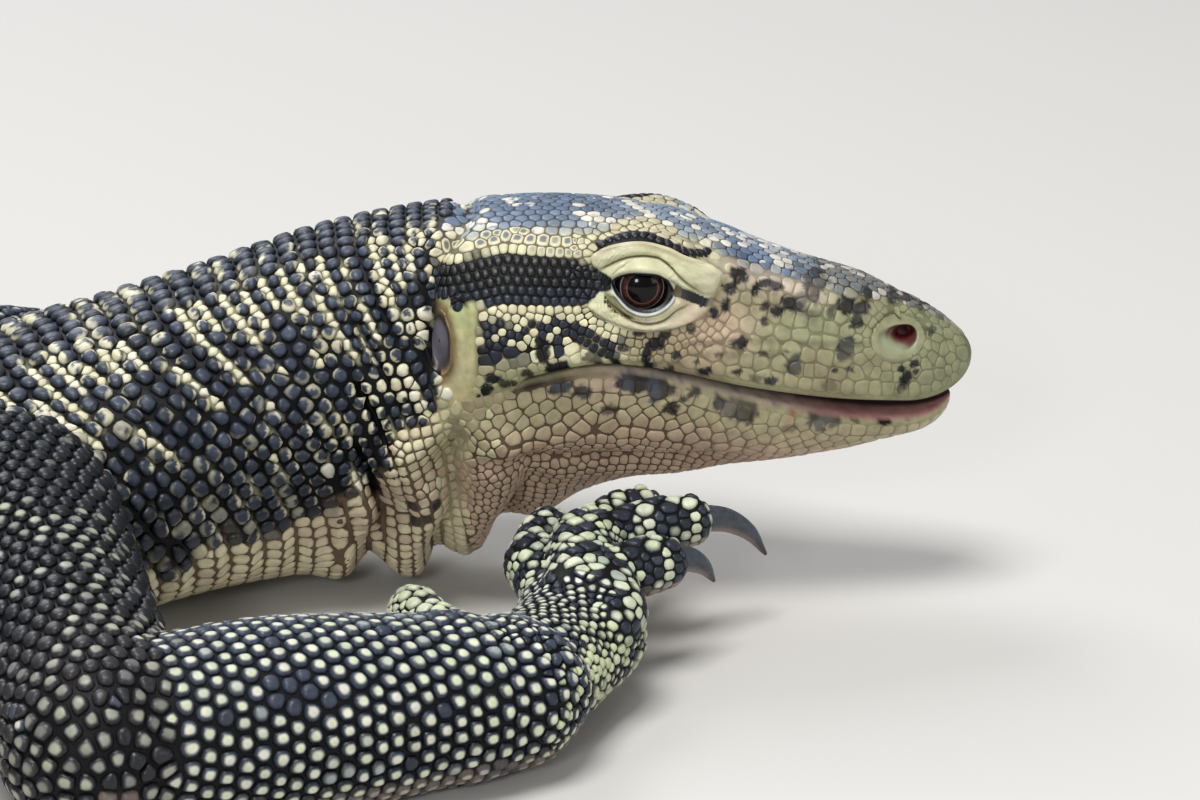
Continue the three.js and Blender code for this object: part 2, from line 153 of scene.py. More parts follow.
@dataclass(frozen=True)
class Mottle:
    """Smooth seeded noise in space: random values on a cubic lattice, blended by 3t^2 - 2t^3."""

    size: float
    seed: int

    def _corner(self, i: Array, j: Array, k: Array) -> Array:
        """A repeatable value from -1 to 1 for each whole lattice place."""
        h = (i * 73856093) ^ (j * 19349663) ^ (k * 83492791) ^ (self.seed * 2654435761)
        h = h & 0xFFFFFFFF
        h = ((h ^ (h >> 15)) * 2246822519) & 0xFFFFFFFF
        h = ((h ^ (h >> 13)) * 3266489917) & 0xFFFFFFFF
        return ((h ^ (h >> 16)) & 0xFFFFFF) / 8388607.5 - 1.0

    def __call__(self, p: Array) -> Array:
        """The noise at each point.

        Args:
            p: Points, (..., 3).

        Returns:
            Values from -1 to 1, one per point.
        """
        q = np.asarray(p, float) / self.size
        base = np.floor(q).astype(np.int64)
        t = q - base
        t = t * t * (3 - 2 * t)
        total = np.zeros(q.shape[:-1])
        for di in (0, 1):
            for dj in (0, 1):
                for dk in (0, 1):
                    w = ((t[..., 0] if di else 1 - t[..., 0]) * (t[..., 1] if dj else 1 - t[..., 1])
                         * (t[..., 2] if dk else 1 - t[..., 2]))
                    total += w * self._corner(base[..., 0] + di, base[..., 1] + dj, base[..., 2] + dk)
        return total


def grid_normals(p: Array) -> Array:
    """Unit normals of rings of points: across-the-rows difference times along-the-rows difference.

    Args:
        p: Points, (rows, columns, 3); the last column meets the first.

    Returns:
        Normals, (rows, columns, 3).
    """
    down = np.gradient(p, axis=0)
    over = np.roll(p, -1, axis=1) - np.roll(p, 1, axis=1)
    return unit(np.cross(over, down))


def superellipse(t: Array, wide: Array, tall: Array, n: Array) -> tuple[Array, Array]:
    """Places round a superellipse: side = wide sgn(sin) |sin|^(2/n), rise = tall sgn(cos) |cos|^(2/n)."""
    up, out = np.cos(t), np.sin(t)
    return wide * np.sign(out) * np.abs(out) ** (2 / n), tall * np.sign(up) * np.abs(up) ** (2 / n)


def ring_quads(rings: int, columns: int) -> Array:
    """Squares between rings of points, each ring closed on itself.

    Args:
        rings: How many rings there are.
        columns: Points in a ring.

    Returns:
        Faces, (squares, 4).
    """
    i = np.arange(rings - 1)[:, None] * columns
    j = np.arange(columns)[None, :]
    k = (j + 1) % columns
    return np.stack([i + j, i + k, i + columns + k, i + columns + j], axis=-1).reshape(-1, 4)


def point_tree(points: Array) -> KDTree:
    """A search tree of points, which it knows by their order."""
    tree = KDTree(len(points))
    for i, c in enumerate(points):
        tree.insert(c, i)
    tree.balance()
    return tree


# ---------------------------------------------------------------- the axial body


@dataclass(frozen=True)
class Section:
    """The upper tube's section at each distance: roundings from 0 to 1, two heights and the half width, mm.

    `nose` is 0 at the snout tip and 1 past its rounding. `full` is 0 over the mouth and 1 where the tube holds
    the whole body. `centre` is the mouth line's height and `top` the ridge's.
    """

    nose: Array
    full: Array
    centre: Array
    top: Array
    wide: Array


@dataclass
class BodyForm:
    """The axial body: upright sections along a plan path that runs back from the snout tip."""

    length: int = 1520
    snout_x: float = 73.7
    snout_height: float = 48.3
    nose_round: float = 14
    jaw_start: float = 4
    jaw_round: float = 9
    lip_raise: float = 0.7
    roof_full: tuple[float, float] = (86, 101)
    jaw_close: tuple[float, float] = (96, 123)
    crown: Knots = Knots((
        (0, 56), (12, 59.7), (24, 64.5), (36, 67.9), (48, 72.2), (58, 76.2), (70, 78), (104, 77.6),
        (125, 74.2), (153, 65.8), (175, 60), (197, 55.5), (250, 54.5), (340, 58), (440, 57), (520, 52),
        (600, 46), (700, 40), (850, 33), (1000, 27), (1200, 19), (1400, 10), (1520, 3)))
    mouth: Knots = Knots((
        (0, 41.4), (12, 41.6), (24, 42.6), (44, 46.2), (62, 50.8), (72, 52.1), (84, 50.6), (98, 47.3),
        (150, 36), (200, 26), (520, 22), (700, 18), (1000, 12), (1520, 1.7)))
    underside: Knots = Knots((
        (0, 34.6), (8, 33.2), (16, 31.6), (24, 29.4), (34, 27.4), (54, 24.8), (68, 22.6), (82, 17.5),
        (95, 10.5), (108, 5), (130, 3), (158, 1.5), (180, -0.6), (1400, -0.6), (1520, 0.3)))
    half_width: Knots = Knots((
        (0, 10.5), (15, 12.8), (30, 16), (45, 19), (62, 22), (78, 25), (95, 28), (112, 27.2), (130, 29),
        (180, 41), (260, 58), (340, 68), (430, 69), (510, 57), (600, 33), (720, 20.5), (850, 14), (1000, 10),
        (1200, 7), (1520, 1.4)))
    square_above: Knots = Knots((
        (0, 2), (15, 2.2), (65, 2.55), (115, 2.1), (340, 2.15), (600, 2), (1520, 1.7)))
    square_below: Knots = Knots((
        (0, 2), (95, 1.95), (180, 2.6), (340, 2.9), (520, 2.6), (800, 1.8), (1520, 1.7)))
    overhang: Knots = Knots(((0, 1.3), (80, 1.3), (98, 0.3), (120, 0)))
    slit: Knots = Knots(((0, 1.4), (10, 2.4), (20, 2.9), (34, 2.4), (56, 1.1), (74, 0.4), (120, 0.4)))
    heading: Knots = Knots((
        (0, 0), (104, 0), (150, 13), (210, 25), (300, 24), (400, 8), (520, -14), (640, -24), (760, -14),
        (900, 12), (1050, 32), (1200, 44), (1360, 60), (1520, 88)))
    inset: Knots = Knots((
        (0, 0.35), (100, 0.45), (130, 0.9), (300, 1.0), (600, 0.9), (1000, 0.7), (1520, 0.5)))

    def __post_init__(self) -> None:
        """Walks the plan path back from the snout tip one millimetre at a time."""
        turn = np.radians(self.heading(np.arange(self.length) + 0.5))
        self.path_x = self.snout_x - np.concatenate([[0], np.cumsum(np.cos(turn))])
        self.path_y = -np.concatenate([[0], np.cumsum(np.sin(turn))])

    def place(self, s: Array, side: Array, z: Array) -> Array:
        """The point s behind the snout tip along the path, `side` to the animal's left of it, at height z."""
        turn = np.radians(self.heading(s))
        steps = np.arange(self.length + 1)
        x = np.interp(s, steps, self.path_x) - side * np.sin(turn)
        y = np.interp(s, steps, self.path_y) + side * np.cos(turn)
        return np.stack(np.broadcast_arrays(x, y, z), axis=-1).astype(float)

    def middle(self, s: Array) -> Array:
        """Height of the mouth line."""
        return self.snout_height + (self.mouth(s) - self.snout_height) * rounded(s, self.nose_round)

    def section(self, s: Array) -> Section:
        """The sizes of the upper tube's section at each distance behind the snout tip."""
        inset = self.inset(s)
        nose = rounded(s - POLE, self.nose_round - POLE)
        full = ease(s, *self.roof_full)
        centre = self.snout_height + (self.mouth(s) + self.lip_raise * (1 - full) - self.snout_height) * nose
        top = self.snout_height + (self.crown(s) - inset - self.snout_height) * nose
        return Section(nose, full, centre, top, (self.half_width(s) - inset) * nose)

    def upper(self, s: Array, t: Array) -> Array:
        """The plain skin of head, neck, trunk and tail, its mouth roof shallow as far as the mouth's corner.

        Two half superellipses meet at the mouth line: angle 0 is the ridge of the back, a quarter turn the
        animal's left and a half turn the belly.

        Args:
            s: Distance behind the snout tip.
            t: Angle round the section.

        Returns:
            Points, (..., 3).
        """
        s, t = np.broadcast_arrays(np.asarray(s, float), np.asarray(t, float))
        inset, cut = self.inset(s), self.section(s)
        full, centre = cut.full, cut.centre
        wide_down = (1 - full) * cut.wide + full * (self.half_width(s) - self.overhang(s) - inset)
        fall = (1 - full) * 0.8 * cut.nose + full * (centre - self.underside(s) - inset)
        above = np.cos(t) >= 0
        n = np.where(above, self.square_above(s), 3.2 + (self.square_below(s) - 3.2) * full)
        wide = np.where(above, cut.wide, wide_down)
        tall = np.where(above, cut.top - centre, fall)
        side, rise = superellipse(t, wide, tall, n)
        return self.place(s, side, centre + rise)

    def jaw(self, s: Array, t: Array) -> Array:
        """The plain skin of the lower jaw, which closes to a pole inside the throat.

        Args:
            s: Distance behind the snout tip.
            t: Angle round the section; 0 is the middle of the mouth's floor.

        Returns:
            Points, (..., 3).
        """
        s, t = np.broadcast_arrays(np.asarray(s, float), np.asarray(t, float))
        inset = self.inset(s)
        tip = rounded(s - self.jaw_start - POLE, self.jaw_round)
        low, high = self.jaw_close
        shut = np.sqrt(np.clip(1 - np.clip((s - low) / (high - low), 0, 1) ** 2, 0, 1))
        centre = self.middle(s) - self.slit(s) - 1.5
        above = np.cos(t) >= 0
        wide = (self.half_width(s) - self.overhang(s) - inset) * tip * shut
        tall = np.where(above, 1.5, centre - self.underside(s) - inset) * tip * shut
        side, rise = superellipse(t, wide, tall, np.where(above, 3.5, 1.95))
        return self.place(s, side, centre + rise)


@dataclass
class Relief:
    """What the skin adds to the plain body: brows, lips, cheeks, folds. Lifts along the normal, in mm."""

    form: BodyForm
    orbit_centre: tuple[float, float, float] = (65.2, 13.0, 66.7)
    orbit_half: tuple[float, float, float] = (14, 9.4, 9.4)
    ear_rim_centre: tuple[float, float, float] = (100.6, 25.2, 56.5)
    ear_rim_half: tuple[float, float, float] = (2.9, 3.0, 11.5)
    row_slant: Knots = Knots(((90, 4), (110, 14), (130, 23), (150, 30), (200, 40), (255, 38), (420, 0)))
    fold_pitch: Knots = Knots((
        (90, 3.0), (112, 3.3), (135, 4.0), (160, 4.4), (230, 4.6), (400, 4.5), (600, 4.0), (900, 3.4),
        (1520, 2.6)))
    # Hollows for the eye, the nostril and the ear: (back, height, half length, half height, depth).
    pits: tuple[tuple[float, ...], ...] = (
        (65.2, 66.3, 6.0, 4.6, 6.0), (15.6, 54.6, 4.8, 3.6, 6.0), (104.6, 57.2, 2.4, 5.6, 3.0))
    # Level creases on the snout's side: heights at `crease_back`, where they begin and end, and their depth.
    crease_back: tuple[float, ...] = (20, 28, 40, 48, 60)
    creases: tuple[tuple[tuple[float, ...], float, float, float], ...] = (
        ((53.2, 53.7, 55.0, 55.6, 55.4), 20, 60, 0.55), ((50.0, 51.0, 52.6, 53.0, 53.8), 34, 58, 0.4))

    def __post_init__(self) -> None:
        """Sums the rows back from the head, one row per `fold_pitch`."""
        s = np.arange(60, self.form.length + 40, 0.5)
        self.row_place = s
        self.row_count = np.concatenate([[0], np.cumsum(0.5 / self.fold_pitch(s[:-1] + 0.25))])

    @staticmethod
    def slant_share(t: Array) -> Array:
        """How far down its slant a row is, from 0 on the back's ridge to 1 under the throat."""
        return ease(np.abs(t) / math.pi, 0.08, 0.72)

    def along_row(self, row: Array, t: Array) -> Array:
        """Distance at angle t of the row that crosses the ridge at `row`; it slants forward as it goes down."""
        return row - self.row_slant(row) * self.slant_share(t)

    def row_of(self, s: Array, t: Array) -> Array:
        """Where the row through (s, t) crosses the ridge, by eight steps of row = s + slant(row)."""
        row = np.array(s, float)
        for _ in range(8):
            row = s + self.row_slant(row) * self.slant_share(t)
        return row

    def count_of(self, row: Array) -> Array:
        """Rows counted back from the head to a ridge crossing."""
        return np.interp(row, self.row_place, self.row_count)

    @staticmethod
    def _lobe(q: Array, n: Array, centre: tuple[float, float, float], half: tuple[float, float, float],
              soft: float) -> Array:
        """How far a normal must go to leave an ellipsoid, softened: k log(1 + exp(D / k)).

        Args:
            q: Points as (back, outward side, height).
            n: Normals in the same axes.
            centre: The ellipsoid's middle.
            half: Its half sizes.
            soft: The softening length k.

        Returns:
            The lift, near 0 outside.
        """
        h = np.array(half)
        u = (q - np.array(centre)) / h
        v = n / h
        a = (v * v).sum(-1)
        b = (u * v).sum(-1)
        c = (u * u).sum(-1) - 1
        inside = (-b + np.sqrt(np.maximum(b * b - a * c, 0))) / a
        reach = np.where(c <= 0, inside, -np.sqrt(np.maximum(c, 0)) * min(half) * 0.7)
        return soft * np.log1p(np.exp(np.clip(reach / soft, -30, 30)))

    def _head_lift(self, t: Array, q: Array, m: Array) -> Array:
        """Brows, ear's rim, lips, cheeks, hollows and creases of the head above the mouth.

        Args:
            t: Angle round the section.
            q: Points as (back, outward side, height).
            m: Normals in the same axes.

        Returns:
            Millimetres along the normal.
        """
        s, z = q[..., 0], q[..., 2]
        outer = np.clip(m[..., 1], 0, 1)
        mouth = self.form.middle(s)
        head = (np.cos(t) >= -0.02) & (s < 135)
        total = np.zeros_like(s)
        total += np.where(head, self._lobe(q, m, self.orbit_centre, self.orbit_half, 0.5), 0)
        total += np.where(head, self._lobe(q, m, self.ear_rim_centre, self.ear_rim_half, 0.35), 0)
        total -= np.where(head, 1.1 * hump(s, 44, 8) * hump(z, 62.5, 3.6) * outer, 0)
        total += np.where(head, 0.9 * hump(s, 15, 5.5) * hump(z, 54, 4.5) * outer, 0)
        lip = hump(z, mouth + 2.4, 1.7) * ease(s, 5, 14) * (1 - ease(s, 80, 96))
        total += np.where(head, 0.55 * lip * outer, 0)
        total += np.where(head, 1.0 * hump(s, 88, 8) * hump(z, 60, 7) * outer, 0)
        # The canthus, a soft ridge from the brow to over the nostril.
        ridge = np.interp(s, [16, 30, 44, 54], [60.5, 63.5, 67.5, 71.5])
        total += np.where(head, 0.8 * hump(z, ridge, 1.9) * ease(s, 14, 24) * (1 - ease(s, 48, 56)), 0)
        for at, high, long, tall, deep in self.pits:
            ring = np.hypot((s - at) / long, (z - high) / tall)
            total -= np.where(head & (outer > 0.2), deep * (1 - ease(ring, 0.78, 1.12)), 0)
        # The head's rear edge: a crease behind the temple that runs up and forward over the nape.
        crease = np.interp(z, [40, 62, 72, 78], [106.5, 107, 105, 99])
        total -= np.where(s < 125, 2.0 * hump(s, crease, 1.3) * ease(z, 38, 60), 0)
        for heights, low, high, deep in self.creases:
            at = np.interp(s, self.crease_back, heights)
            ends = ease(s, low, low + 5) * (1 - ease(s, high - 8, high))
            fold = 0.6 * hump(z, at + 1.1, 0.8) - hump(z, at, 0.42)
            total += np.where(head, deep * fold * ends * outer, 0)
        # Upright wrinkles on the ear's rim.
        rim = hump(s, 100.2, 1.8) * ease(z, 46, 50) * (1 - ease(z, 62, 66))
        total += np.where(head, 0.10 * np.sin(s * 2 * math.pi / 1.25) * rim, 0)
        return total

    def _neck_rows(self, s: Array, t: Array, z: Array) -> Array:
        """The neck's folds: each carries two rows of scales on a round arch, with a narrow valley between."""
        phase = self.count_of(self.row_of(s, t)) / 2
        off = np.abs(phase - np.round(phase))
        share = ease(np.abs(t) / math.pi, 0.14, 0.38)
        arch = np.sqrt(np.clip(1 - ((0.5 - off) / 0.56) ** 2, 0, 1))
        deep = ease(s, 108, 124) * (1 - ease(s, 230, 330)) * (0.12 + 1.1 * share) * (1 - ease(-z, -16, -6))
        return deep * (3.4 * (arch - 0.82) - 1.5 * np.exp(-((off / 0.11) ** 2)))

    @staticmethod
    def _jaw_folds(s: Array, z: Array) -> Array:
        """The wide folds under and behind the corner of the jaw, with small cross wrinkles over them."""
        crest_a = np.interp(z, [6, 12, 22, 33, 45], [111, 112, 107, 113.5, 103])
        crest_b = np.interp(z, [8, 16, 26, 36, 44], [100, 99, 93, 92, 96])
        fold = 3.6 * hump(s, crest_a, 4.2) + 2.6 * hump(s, crest_b, 3.2)
        fold -= 4.0 * hump(s, (crest_a + crest_b) / 2 + 0.5, 2.2)
        fold -= 3.0 * hump(s, crest_b - 7, 2.6) * (1 - ease(z, 28, 36))
        fold += 1.6 * hump(s, crest_b - 14, 3.2) * (1 - ease(z, 22, 30))
        fold -= 3.4 * hump(s, crest_a + 9, 2.2) * (1 - ease(z, 28, 40))
        fold += 2.2 * hump(s, crest_a + 16, 3.4) * (1 - ease(z, 24, 36))
        fold += 0.22 * np.sin(z * 2 * math.pi / 3.9 + 0.12 * s) * hump(s, crest_a + 2, 9)
        return fold * (1 - ease(z, 35, 44)) * ease(s, 74, 88)

    def lift(self, s: Array, t: Array, p: Array, n: Array, lower: bool) -> Array:
        """The lift of the skin at grid points.

        Args:
            s: Distance behind the snout tip.
            t: Angle round the section.
            p: Plain points.
            n: Plain normals.
            lower: Whether this is the lower jaw's own tube.

        Returns:
            Millimetres along the normal.
        """
        turn = np.radians(self.form.heading(s))
        steps = np.arange(self.form.length + 1)
        x0 = np.interp(s, steps, self.form.path_x)
        y0 = np.interp(s, steps, self.form.path_y)
        side = -(p[..., 0] - x0) * np.sin(turn) + (p[..., 1] - y0) * np.cos(turn)
        hand = np.where(side >= 0, 1.0, -1.0)
        z = p[..., 2]
        q = np.stack([s, side * hand, z], axis=-1)
        across = (-n[..., 0] * np.sin(turn) + n[..., 1] * np.cos(turn)) * hand
        m = np.stack([-(n[..., 0] * np.cos(turn) + n[..., 1] * np.sin(turn)), across, n[..., 2]], axis=-1)
        total = np.zeros_like(s) if lower else self._head_lift(t, q, m)
        total += self._neck_rows(s, t, z)
        total += self._jaw_folds(s, z)
        if lower:
            # The gular pouch's lengthwise crease under the jaw's bone, between two soft rolls.
            line = np.interp(s, [30, 60, 90], [31, 30, 33])
            total -= 1.7 * hump(z, line, 1.2) * ease(s, 40, 58) * (1 - ease(s, 92, 100))
            total += 0.7 * hump(z, line + 4.5, 2.6) * ease(s, 30, 50) * (1 - ease(s, 88, 98))
            total += 0.9 * hump(z, line - 3.4, 1.7) * ease(s, 46, 60) * (1 - ease(s, 84, 94))
        return total

    def surface(self, s: Array, t: Array, lower: bool = False) -> tuple[Array, Array]:
        """The finished skin at any places: plain point plus its normal times the lift.

        Args:
            s: Distance behind the snout tip.
            t: Angle round the section.
            lower: Whether to use the lower jaw's tube.

        Returns:
            Points and plain normals.
        """
        shape = self.form.jaw if lower else self.form.upper
        s, t = np.broadcast_arrays(np.asarray(s, float), np.asarray(t, float))
        p = shape(s, t)
        over = shape(s, t + 0.01) - shape(s, t - 0.01)
        down = shape(s + 0.4, t) - shape(s - 0.4, t)
        n = unit(np.cross(over, down))
        return p + n * self.lift(s, t, p, n, lower)[..., None], n


# ---------------------------------------------------------------- limbs


@dataclass
class Bar:
    """A tapered round bar along a smooth path; each knot is (x, y, z, half width, half height)."""

    knots: list[tuple[float, float, float, float, float]]
    thin: float = 0.0
    round_end: float = 1.0

    def __post_init__(self) -> None:
        """Measures the path and lays its curves over the distance from knot to knot."""
        k = np.array(self.knots, float)
        reach = np.concatenate([[0], np.cumsum(np.linalg.norm(np.diff(k[:, :3], axis=0), axis=1))])
        self.length = float(reach[-1])
        self.curves = [Knots(tuple(zip(reach.tolist(), k[:, i].tolist()))) for i in range(5)]

    def at(self, t: Array) -> Array:
        """Points on the middle line."""
        return np.stack([self.curves[i](t) for i in range(3)], axis=-1)

    def surface(self, t: Array, angle: Array, past: Array | float = 0.0, swell: Array | float = 1.0) -> Array:
        """Points on the bar: middle + across * half width * sin + up * half height * cos.

        Args:
            t: Distance along the path.
            angle: 0 is up, a quarter turn the left of the way along.
            past: How far beyond the path's end, in shares of the lesser half size.
            swell: The section's scale.

        Returns:
            Points, (..., 3).
        """
        t, angle, past, swell = np.broadcast_arrays(*(np.asarray(v, float) for v in (t, angle, past, swell)))
        tangent = unit(self.at(np.minimum(t + 0.5, self.length)) - self.at(np.maximum(t - 0.5, 0)))
        across = unit(np.stack([-tangent[..., 1], tangent[..., 0], np.zeros_like(t)], axis=-1))
        up = np.cross(tangent, across)
        w = self.curves[3](t) - self.thin
        h = self.curves[4](t) - self.thin
        return (self.at(t) + tangent * (past * np.minimum(w, h))[..., None]
                + across * (w * swell * np.sin(angle))[..., None]
                + up * (h * swell * np.cos(angle))[..., None])

    def over_ends(self, t: Array, angle: Array) -> Array:
        """Points on the bar where t may run past either end, over its rounded cap.

        Args:
            t: Distance along the path; before 0 and past the length it goes over the caps.
            angle: Angle round the bar.

        Returns:
            Points, (..., 3).
        """
        t, angle = np.broadcast_arrays(np.asarray(t, float), np.asarray(angle, float))
        inner = np.clip(t, 0, self.length)
        radius = np.minimum(self.curves[3](inner), self.curves[4](inner)) - self.thin
        turn = np.clip((t - inner) / radius, -math.pi / 2, math.pi / 2)
        past = np.sin(turn) * np.where(t > inner, self.round_end, 1.0)
        return self.surface(inner, angle, past, np.maximum(np.cos(turn), 0.02))

    def grid(self, step: float, around: int) -> tuple[Array, Array, Array]:
        """Rows of points from pole to pole.

        Args:
            step: Row spacing.
            around: Points in a row.

        Returns:
            Points (rows, around, 3), the rows' places along the path and the angles.
        """
        rows = max(3, int(math.ceil(self.length / step)))
        body = np.linspace(0, self.length, rows + 1)
        cap = np.linspace(0, 1, 8)[:-1] * math.pi / 2
        t = np.concatenate([np.zeros(len(cap)), body, np.full(len(cap), self.length)])
        past = np.concatenate([-np.cos(cap), np.zeros(rows + 1), np.cos(cap[::-1]) * self.round_end])
        swell = np.concatenate([np.sin(cap), np.ones(rows + 1), np.sin(cap[::-1])])
        angle = np.linspace(0, 2 * math.pi, around, endpoint=False)
        p = self.surface(t[:, None], angle[None, :], past[:, None], swell[:, None])
        return p, t, angle


@dataclass
class Digit:
    """A toe or finger: where it leaves the palm, which way it goes, how it bends, and its claw's length."""

    start: float
    across: float
    spread: float
    curl: float
    length: float
    knuckle: float
    tip: float
    claw: float


@dataclass
class Leg:
    """One leg: upper and lower length, palm, digits and claws."""

    name: str
    pair: tuple[str, str, str]
    hand: int
    joints: tuple[Array, Array, Array]
    thick: tuple[tuple[float, float], ...]
    heading: float
    palm: float
    wide: float
    tall: float
    height: float
    digits: tuple[Digit, ...]
    thin: float = 0.55
    digit_thick: tuple[tuple[float, float], ...] = ((6.2, 6.2), (6.4, 6.3), (5.9, 6.0), (5.6, 5.8))

    @property
    def fine(self) -> bool:
        """Whether this is the right foreleg, which stands nearest to the viewer and has the finest mesh."""
        return self.pair[2] == "hand" and self.hand < 0

    @staticmethod
    def toward(angle: float) -> Array:
        """The level unit vector at `angle` degrees from +X towards +Y."""
        return np.array([math.cos(math.radians(angle)), math.sin(math.radians(angle)), 0.0])

    def bars(self) -> dict[str, Bar]:
        """The bars of the leg by name: upper, lower, palm and digit_1 to digit_5."""
        root, bend, end = self.joints
        swell = bend + (end - bend) * 0.42
        t = self.thick
        start = (t[1][0] * 0.92, t[1][1] * 0.92)
        ahead = self.toward(self.heading)
        mid = end + ahead * self.palm * 0.5
        far = end + ahead * self.palm * 0.95
        mid[2] = self.height
        far[2] = self.height + 0.6
        bars = {
            "upper": Bar([(*root, *t[0]), (*bend, *t[1])], self.thin),
            "lower": Bar([(*bend, *start), (*swell, *t[2]), (*end, *t[3])], self.thin),
            "palm": Bar([(*end, t[3][0] * 0.92, t[3][1] * 0.92), (*mid, self.wide, self.tall + 0.8),
                         (*far, self.wide, self.tall)], self.thin),
        }
        for i, digit in enumerate(self.digits):
            points, _ = self.digit_path(digit)
            bars[f"digit_{i + 1}"] = Bar([(*p, *self.digit_thick[j]) for j, p in enumerate(points)],
                                         self.thin, round_end=0.9)
        return bars

    def digit_path(self, digit: Digit) -> tuple[list[Array], Array]:
        """A digit's four knots, out of the palm, over the knuckle and on to its turned tip.

        Args:
            digit: The digit's sizes.

        Returns:
            The knots and the level direction of the tip.
        """
        ahead = self.toward(self.heading)
        inward = self.toward(self.heading - 90 * self.hand)
        out = self.toward(self.heading - digit.spread * self.hand)
        turned = self.toward(self.heading - (digit.spread - digit.curl) * self.hand)
        end = self.joints[2]
        root = end + ahead * self.palm * digit.start * 0.45 + inward * digit.across * 0.5
        bend = end + ahead * self.palm * digit.start + inward * digit.across
        mid = bend + out * digit.length * 0.52
        tip = mid + turned * digit.length * 0.48
        root[2] = self.height
        bend[2] = digit.knuckle
        mid[2] = (digit.knuckle * 1.1 + digit.tip) / 2
        tip[2] = digit.tip
        return [root, bend, mid, tip], turned


def make_legs(form: BodyForm) -> list[Leg]:
    """The four legs, placed against the body.

    Args:
        form: The axial body.

    Returns:
        Right arm, left arm, right leg, left leg.
    """
    at = form.place
    hind = ((24, 22), (18, 18), (17, 16.5), (11.5, 9.6))

    def toes(spreads: tuple[float, ...]) -> tuple[Digit, ...]:
        """The five toes of a hind foot, given how they spread."""
        rows = ((0.7, 10, 20, 9, 10), (1, 6, 31, 11.5, 13), (1, 0, 42, 12, 13), (1, -6, 49, 11, 13),
                (1, -10, 30, 8.5, 13))
        return tuple(Digit(a, b, sp, 5, ln, kn, 6, cl) for (a, b, ln, kn, cl), sp in zip(rows, spreads))

    return [
        Leg("right", ("upper_arm", "forearm", "hand"), -1,
            (at(202, -33, 31), np.array([-86, -127, 18.0]), np.array([-17, -93, 13.5])),
            ((21, 20), (17, 17.5), (19, 17.5), (16, 13.4)), 65, 34, 12.5, 10.5, 13,
            (Digit(0.45, 9, 68, 20, 31, 12, 12.5, 10), Digit(1, 7, 36, 20, 38, 17, 18.5, 15),
             Digit(1, 2.5, 22, 30, 44, 21, 22, 12), Digit(1, -2.5, 27, 62, 44, 20, 23.5, 19),
             Digit(0.95, -7, 30, 60, 26, 18.5, 21, 12))),
        Leg("left", ("upper_arm", "forearm", "hand"), 1,
            (at(208, 32, 27), at(214, 99, 17.5), at(150, 124, 9.5)),
            ((20, 18), (15.5, 16), (17.5, 16.4), (11.5, 8.6)), 34, 28, 15, 7.6, 8.2,
            (Digit(0.7, 9, 50, 6, 22, 9, 6, 11), Digit(1, 6.5, 25, 6, 33, 12, 6, 14),
             Digit(1, 0.5, 6, 6, 42, 12.5, 6, 14), Digit(1, -5.5, -10, 6, 42, 11, 6, 14),
             Digit(1, -9.5, -36, 6, 27, 9, 6, 14))),
        Leg("right", ("thigh", "shank", "foot"), -1,
            (at(545, -22, 27), at(502, -98, 20), at(566, -130, 11)), hind, -62, 36, 15.5, 8, 8.2,
            toes((44, 22, 5, -10, -46))),
        Leg("left", ("thigh", "shank", "foot"), 1,
            (at(545, 22, 27), at(520, 104, 20), at(592, 122, 11)), hind, 52, 36, 15.5, 8, 8.2,
            toes((40, 20, 4, -12, -50))),
    ]


# ---------------------------------------------------------------- meshes


@dataclass(frozen=True)
class Place:
    """Carries millimetres in the head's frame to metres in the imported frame."""

    shift: tuple[float, float, float]

    def world(self, p: Array) -> Array:
        """Points in metres."""
        return (np.asarray(p, float) + np.array(self.shift)) * 0.001

    def local(self, p: Array) -> Array:
        """Points back in the head's frame, in millimetres."""
        return p * 1000 - np.array(self.shift)

    @staticmethod
    def from_eye(form: BodyForm) -> Place:
        """The shift that puts the right eye where its node is.

        Args:
            form: The axial body.

        Returns:
            The placing.
        """
        low, high = (np.array(corner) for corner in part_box("eye_right"))
        middle = (low + high) * 500
        back, side, high = (np.array(size) for size in EYE)
        eye = form.place(back, -side, high)
        shift = middle - eye
        return Place((float(shift[0]), float(shift[1]), round(float(shift[2]), 1)))


def add_mesh(name: str, verts: Array, quads: Array | None = None, tris: Array | None = None,
             colour: Array | None = None, uv: Array | None = None,
             extra: list[Array] | None = None) -> bpy.types.Object:
    """Makes a smooth-shaded mesh object from whole arrays.

    Args:
        name: The object's name.
        verts: Points in metres, (n, 3).
        quads: Four-cornered faces, (q, 4).
        tris: Three-cornered faces, (t, 3).
        colour: Linear colour for each point, (n, 3).
        uv: Place on the OFBake map for each point, (n, 2).
        extra: Faces of other corner counts, each an (f, k) array.

    Returns:
        The new object.
    """
    groups = [g for g in ([quads, tris] + (extra or [])) if g is not None and len(g)]
    loops = np.concatenate([g.ravel() for g in groups]).astype(np.int32)
    totals = np.concatenate([np.full(len(g), g.shape[1]) for g in groups]).astype(np.int32)
    starts = np.concatenate([[0], np.cumsum(totals)[:-1]]).astype(np.int32)
    mesh = bpy.data.meshes.new(name)
    mesh.vertices.add(len(verts))
    mesh.vertices.foreach_set("co", np.ascontiguousarray(verts, np.float32).ravel())
    mesh.loops.add(len(loops))
    mesh.loops.foreach_set("vertex_index", loops)
    mesh.polygons.add(len(totals))
    mesh.polygons.foreach_set("loop_start", starts)
    mesh.polygons.foreach_set("use_smooth", np.ones(len(totals), bool))
    mesh.update(calc_edges=True)
    if colour is not None:
        paint(mesh, colour)
    if uv is not None:
        layer = mesh.uv_layers.new(name="OFBake")
        layer.data.foreach_set("uv", np.ascontiguousarray(uv[loops], np.float32).ravel())
    mesh.validate()
    obj = bpy.data.objects.new(name, mesh)
    bpy.context.collection.objects.link(obj)
    return obj


